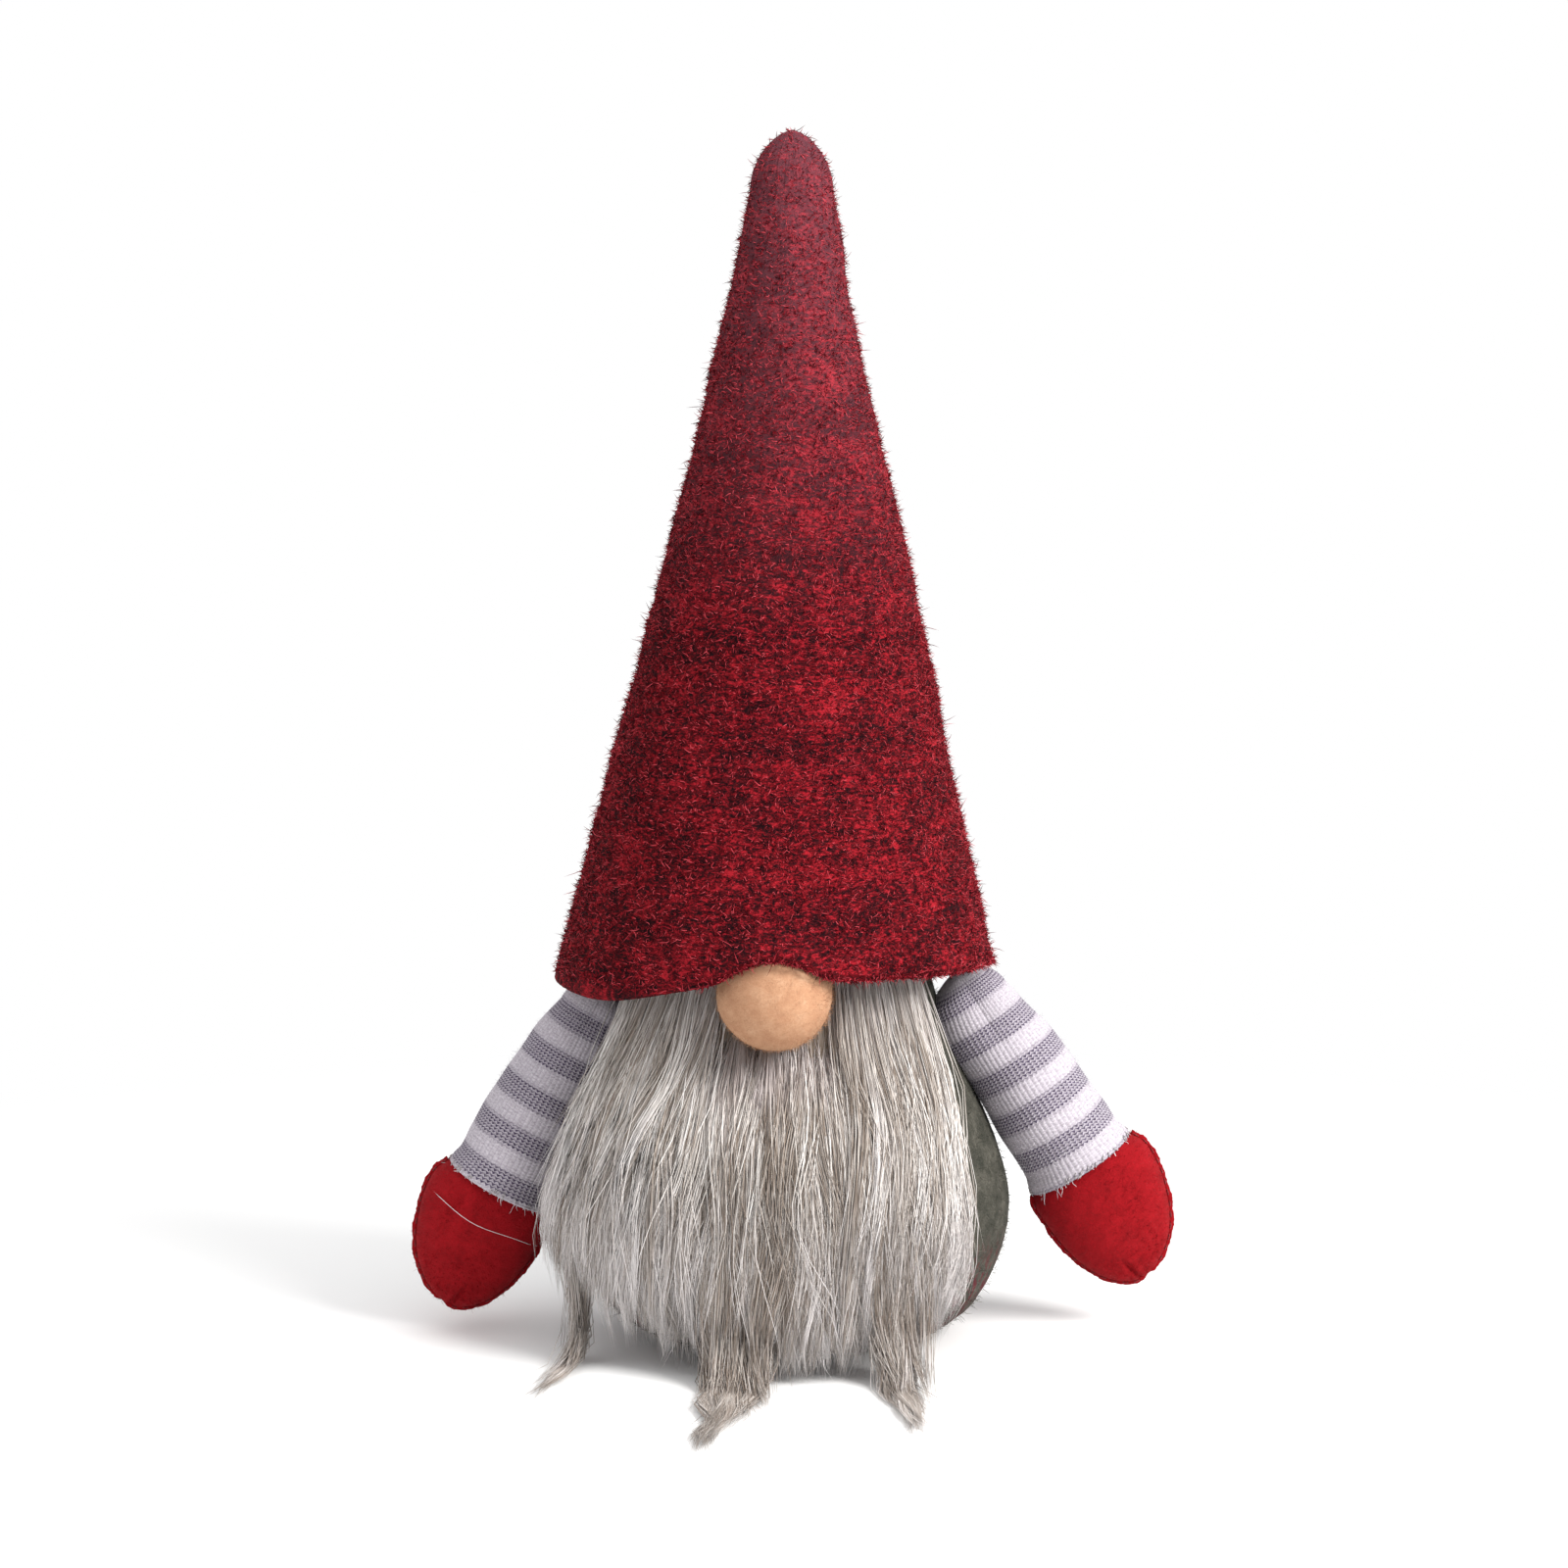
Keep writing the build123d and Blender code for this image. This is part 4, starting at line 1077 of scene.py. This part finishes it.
def make_mitten(arm, felt, fibres, thread):
    opening = arm.length + OPENING
    end = MITTEN[-1, 0]
    rows, half_columns = 84, 60
    t = end * np.sin(np.linspace(0, math.pi / 2, rows))
    shift, width, depth = mitten_at(t)
    spread = np.linspace(-1, 1, half_columns)
    across = np.sign(spread) * np.sin(np.abs(spread) * math.pi / 2)
    x = shift[:, None] + width[:, None] * across[None]
    crown = np.sqrt(np.clip(1 - across[None] ** 2, 0, 1)) ** 0.92
    dart = np.array((-3.6, end - 7.0)), np.array((-2.0, end + 0.5))
    line = unit(dart[1] - dart[0])
    rel = np.stack([x - dart[0][0], np.broadcast_to(t[:, None], x.shape) - dart[0][1]], axis=-1)
    past = rel @ line
    off = np.abs(rel[..., 0] * line[1] - rel[..., 1] * line[0])
    groove = np.exp(-(off / 0.42) ** 2) * np.clip(past / 2.5, 0, 1)
    for name, facing, seed in (("front", 1, 91), ("back", -1, 92)):
        toward = facing * (1 if arm.third[1] < 0 else -1)
        lumps = smooth_noise(x.shape, (5, 5), seed + len(arm.side), closed=False)
        fine = smooth_noise(x.shape, (40, 30), seed + 5, closed=False)
        height = FLANGE_THICK * 0.6 + (depth[:, None] - 0.4) * crown * (1 + 0.05 * lumps)
        height = height + 0.1 * fine * crown - 1.3 * groove * crown**0.5
        height = np.maximum(height, 0.25)
        skin = arm.place(x, toward * height, opening + t[:, None] + 0 * x)
        flat = arm.place(x[:, ::-1], toward * 0.05 + 0 * x, opening + t[:, None] + 0 * x)
        order = slice(None) if toward > 0 else slice(None, None, -1)
        ring = np.concatenate([skin[:, ::-1], flat[:, ::-1]], axis=1)[:, order]
        u = np.concatenate([x[:, ::-1], x], axis=1)[:, order] + 40 * (facing + 1)
        u = np.concatenate([u, u[:, :1]], axis=1)
        v = np.broadcast_to(t[:, None], u.shape)
        half = tube_sheet(f"{arm.side}_mitten_{name}_felt", ring, u, v, felt)
        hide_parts(f"{arm.side}_mitten_{name}")
        finish(half, arm.side + "_arm")

        # the seam allowance that stands out round the edge
        outline = np.concatenate([np.stack([shift - width, t], axis=-1),
                                  np.stack([shift + width, t], axis=-1)[::-1]])
        dense = np.cumsum(np.concatenate([[0], np.linalg.norm(np.diff(outline, axis=0), axis=1)]))
        even = np.linspace(1.5, dense[-1] - 1.5, 150)
        path = np.stack([np.interp(even, dense, outline[:, k]) for k in (0, 1)], axis=-1)
        tangent = unit(np.gradient(path, axis=0))
        normal = np.stack([-tangent[:, 1], tangent[:, 0]], axis=-1)
        rng = np.random.default_rng(seed + 20)
        ragged = FLANGE + 0.16 * np.convolve(rng.normal(size=154), np.ones(5) / 2.2, "valid")
        tip = np.exp(-((even - dense[-1] / 2) / 1.1) ** 2)
        ragged = ragged * (1 - 0.95 * tip)
        rings = []
        for out, up in FLANGE_SECTION:
            place = path + normal * (ragged * out if out > 0 else out + 0 * ragged)[:, None]
            level = np.full(len(place), toward * up * FLANGE_THICK)
            rings.append(arm.place(place[:, 0], level, opening + place[:, 1]))
        strip = np.stack(rings, axis=1)[:, ::-1 if toward > 0 else 1]
        edge = tube_sheet(f"{arm.side}_mitten_{name}_edge", strip,
                          np.arange(len(FLANGE_SECTION) + 1) * 0.5, even, felt)
        finish(edge, arm.side + "_arm")

        s = np.linspace(3.0, dense[-1] - 3.0, int(dense[-1] / STITCH_PITCH))
        s = s[np.abs(s - dense[-1] / 2) > 2.2]
        line_x, line_t = (path + 0.25 * normal).T
        level = np.full(len(s), toward * 0.68)
        start, stop = [arm.place(np.interp(w, even, line_x), level, opening + np.interp(w, even, line_t))
                       for w in (s, s + STITCH)]
        row = stitches(f"{arm.side}_mitten_{name}_stitches", start, stop,
                       toward * 0.12 * arm.third, 0.16, thread)
        finish(row, arm.side + "_arm")

    rng = np.random.default_rng(95 + len(arm.side))
    count = 3600
    s = rng.uniform(0.5, end - 0.3, count)
    shift, width, depth = mitten_at(s)
    turn = rng.uniform(0, 2 * math.pi, count)
    root = arm.place(shift + width * np.cos(turn), depth * np.sin(turn), opening + s)
    normal = arm.place(np.cos(turn) / width, np.sin(turn) / depth, 0.03 + 0 * s) - arm.shoulder
    away = unit(unit(normal) + rng.normal(0, 0.8, (count, 3)))
    fuzz = fluff(arm.side + "_mitten_fluff", fibres, root, away, rng.uniform(0.5, 1.4, count), 0.6,
                 96, (0.045, 0.015), rng.uniform(0, 1, count), 4)
    finish(fuzz, arm.side + "_arm")


def make_loose_fibre(arm, mat):
    """A pale fibre of the beard that has come to lie across the mitten."""
    x = np.linspace(-12.5, 12.0, 14)
    t = 8.0 - 0.02 * x + 0.5 * np.sin(x * 0.3 + 1)
    shift, width, depth = mitten_at(t)
    side = np.clip((x - shift) / width, -1, 1)
    front = -np.sign(arm.third[1])
    y = front * (FLANGE_THICK * 0.6 + (depth - 0.4) * np.sqrt(1 - side**2) ** 0.92 + 0.35)
    path = arm.place(x, y, arm.length + OPENING + t)
    fibre = strands(arm.side + "_mitten_loose_fibre", path[None], np.full((1, 14), 0.055),
                    np.array([0.6]), mat, 5)
    finish(fibre, arm.side + "_arm")


# ------------------------------------------------------------------ the making
def make_stage():
    """A pale round floor that fades into the white all round it."""
    floor_paint = Shade("floor", 0.85, 0.0, 0.1)
    place = floor_paint.node("TexCoord", {}).outputs["Object"]
    far = floor_paint.node("VectorMath", {0: place}, operation="LENGTH").outputs["Value"]
    fade = floor_paint.ramp(floor_paint.maths("DIVIDE", far, 1.6), [(0.03, 0.0), (0.22, 1.0)], "EASE")
    glow = floor_paint.node("Emission", {"Color": (1, 1, 1, 1), "Strength": 1.0})
    blend = floor_paint.node("MixShader", {0: fade, 1: floor_paint.shader.outputs[0], 2: glow.outputs[0]})
    floor_paint.give(floor_paint.tree.nodes["Material Output"].inputs["Surface"], blend.outputs[0])
    bpy.ops.mesh.primitive_circle_add(vertices=128, radius=6.0, fill_type="NGON")
    floor = bpy.context.object
    floor.name = "floor"
    floor.data.materials.append(floor_paint.done((0.95, 0.95, 0.95, 1)))
    world = bpy.data.worlds.new("white")
    world.use_nodes = True
    world.node_tree.nodes["Background"].inputs["Color"].default_value = (1, 1, 1, 1)
    world.node_tree.nodes["Background"].inputs["Strength"].default_value = 1.0
    bpy.context.scene.world = world


make_camera()
make_stage()
make_key_light()

dark_thread = thread_material("dark_thread", (92, 84, 76), (58, 52, 46))
maroon_thread = thread_material("maroon_thread", (110, 26, 32), (70, 16, 22))
fill = hidden_material("fibre_fill", (222, 222, 220), (246, 246, 244), 400)

make_body(wool_felt("sack_felt", (40, 42, 36), (68, 67, 60), (104, 101, 92), 0.66, 1.0, (92, 30, 40)),
          fibre_material("sack_fibres", (46, 48, 42), (78, 77, 69), (118, 114, 105)), dark_thread)
make_nose(wool_felt("nose_wool", (166, 120, 92), (182, 138, 107), (197, 157, 127), 0.264, 1.3),
          fibre_material("peach_fibres", (170, 124, 94), (188, 144, 112), (206, 168, 138)))
make_beard(beard_hair(), under_fur())
make_hat(melange_wool(), fibre_material("wool_fibres", (44, 8, 14), (128, 20, 31), (206, 78, 88)),
         maroon_thread)
make_hat_stuffing(fill)

red_fibres = fibre_material("red_fibres", (104, 8, 15), (142, 14, 22), (164, 26, 34))
yarn_ends = fibre_material("yarn_ends", (190, 186, 194), (218, 215, 220), (240, 238, 240))
grey_thread = thread_material("grey_thread", (176, 170, 172), (128, 122, 126))
red_thread = thread_material("red_thread", (136, 20, 26), (92, 12, 18))
mitten_felt = wool_felt("mitten_wool", (116, 6, 14), (138, 10, 19), (154, 16, 26), 0.44, 1.2)
for side, shift in (("left", 2.0), ("right", -2.0)):
    arm = Arm(side)
    make_sleeve(arm, jersey(side + "_jersey", shift), grey_thread, yarn_ends)
    make_mitten(arm, mitten_felt, red_fibres, red_thread)
    if side == "left":
        make_loose_fibre(arm, yarn_ends)

# what is inside, and the stitches that stay as the frame has them
inside = {
    "base_board": hidden_material("card", (150, 122, 84), (186, 160, 120), 900),
    "sand_pouch": hidden_material("cotton", (214, 208, 196), (236, 232, 224), 1500),
    "sand": hidden_material("sand_grains", (150, 120, 82), (226, 204, 168), 1200, grains=True),
    "beard_backing": hidden_material("fur_backing", (92, 82, 74), (128, 116, 106), 1300),
    "body_stuffing": fill, "hat_stuffing_lower": fill, "gather_thread": dark_thread,
    "beard_stitches": dark_thread, "nose_thread": dark_thread, "hat_tacking_stitches": maroon_thread,
}
for side in ("left", "right"):
    inside.update({side + "_arm_stuffing": fill, side + "_mitten_stuffing": fill,
                   side + "_shoulder_thread": dark_thread})
for name, mat in inside.items():
    frame["nodes"][name].data.materials.clear()
    frame["nodes"][name].data.materials.append(mat)
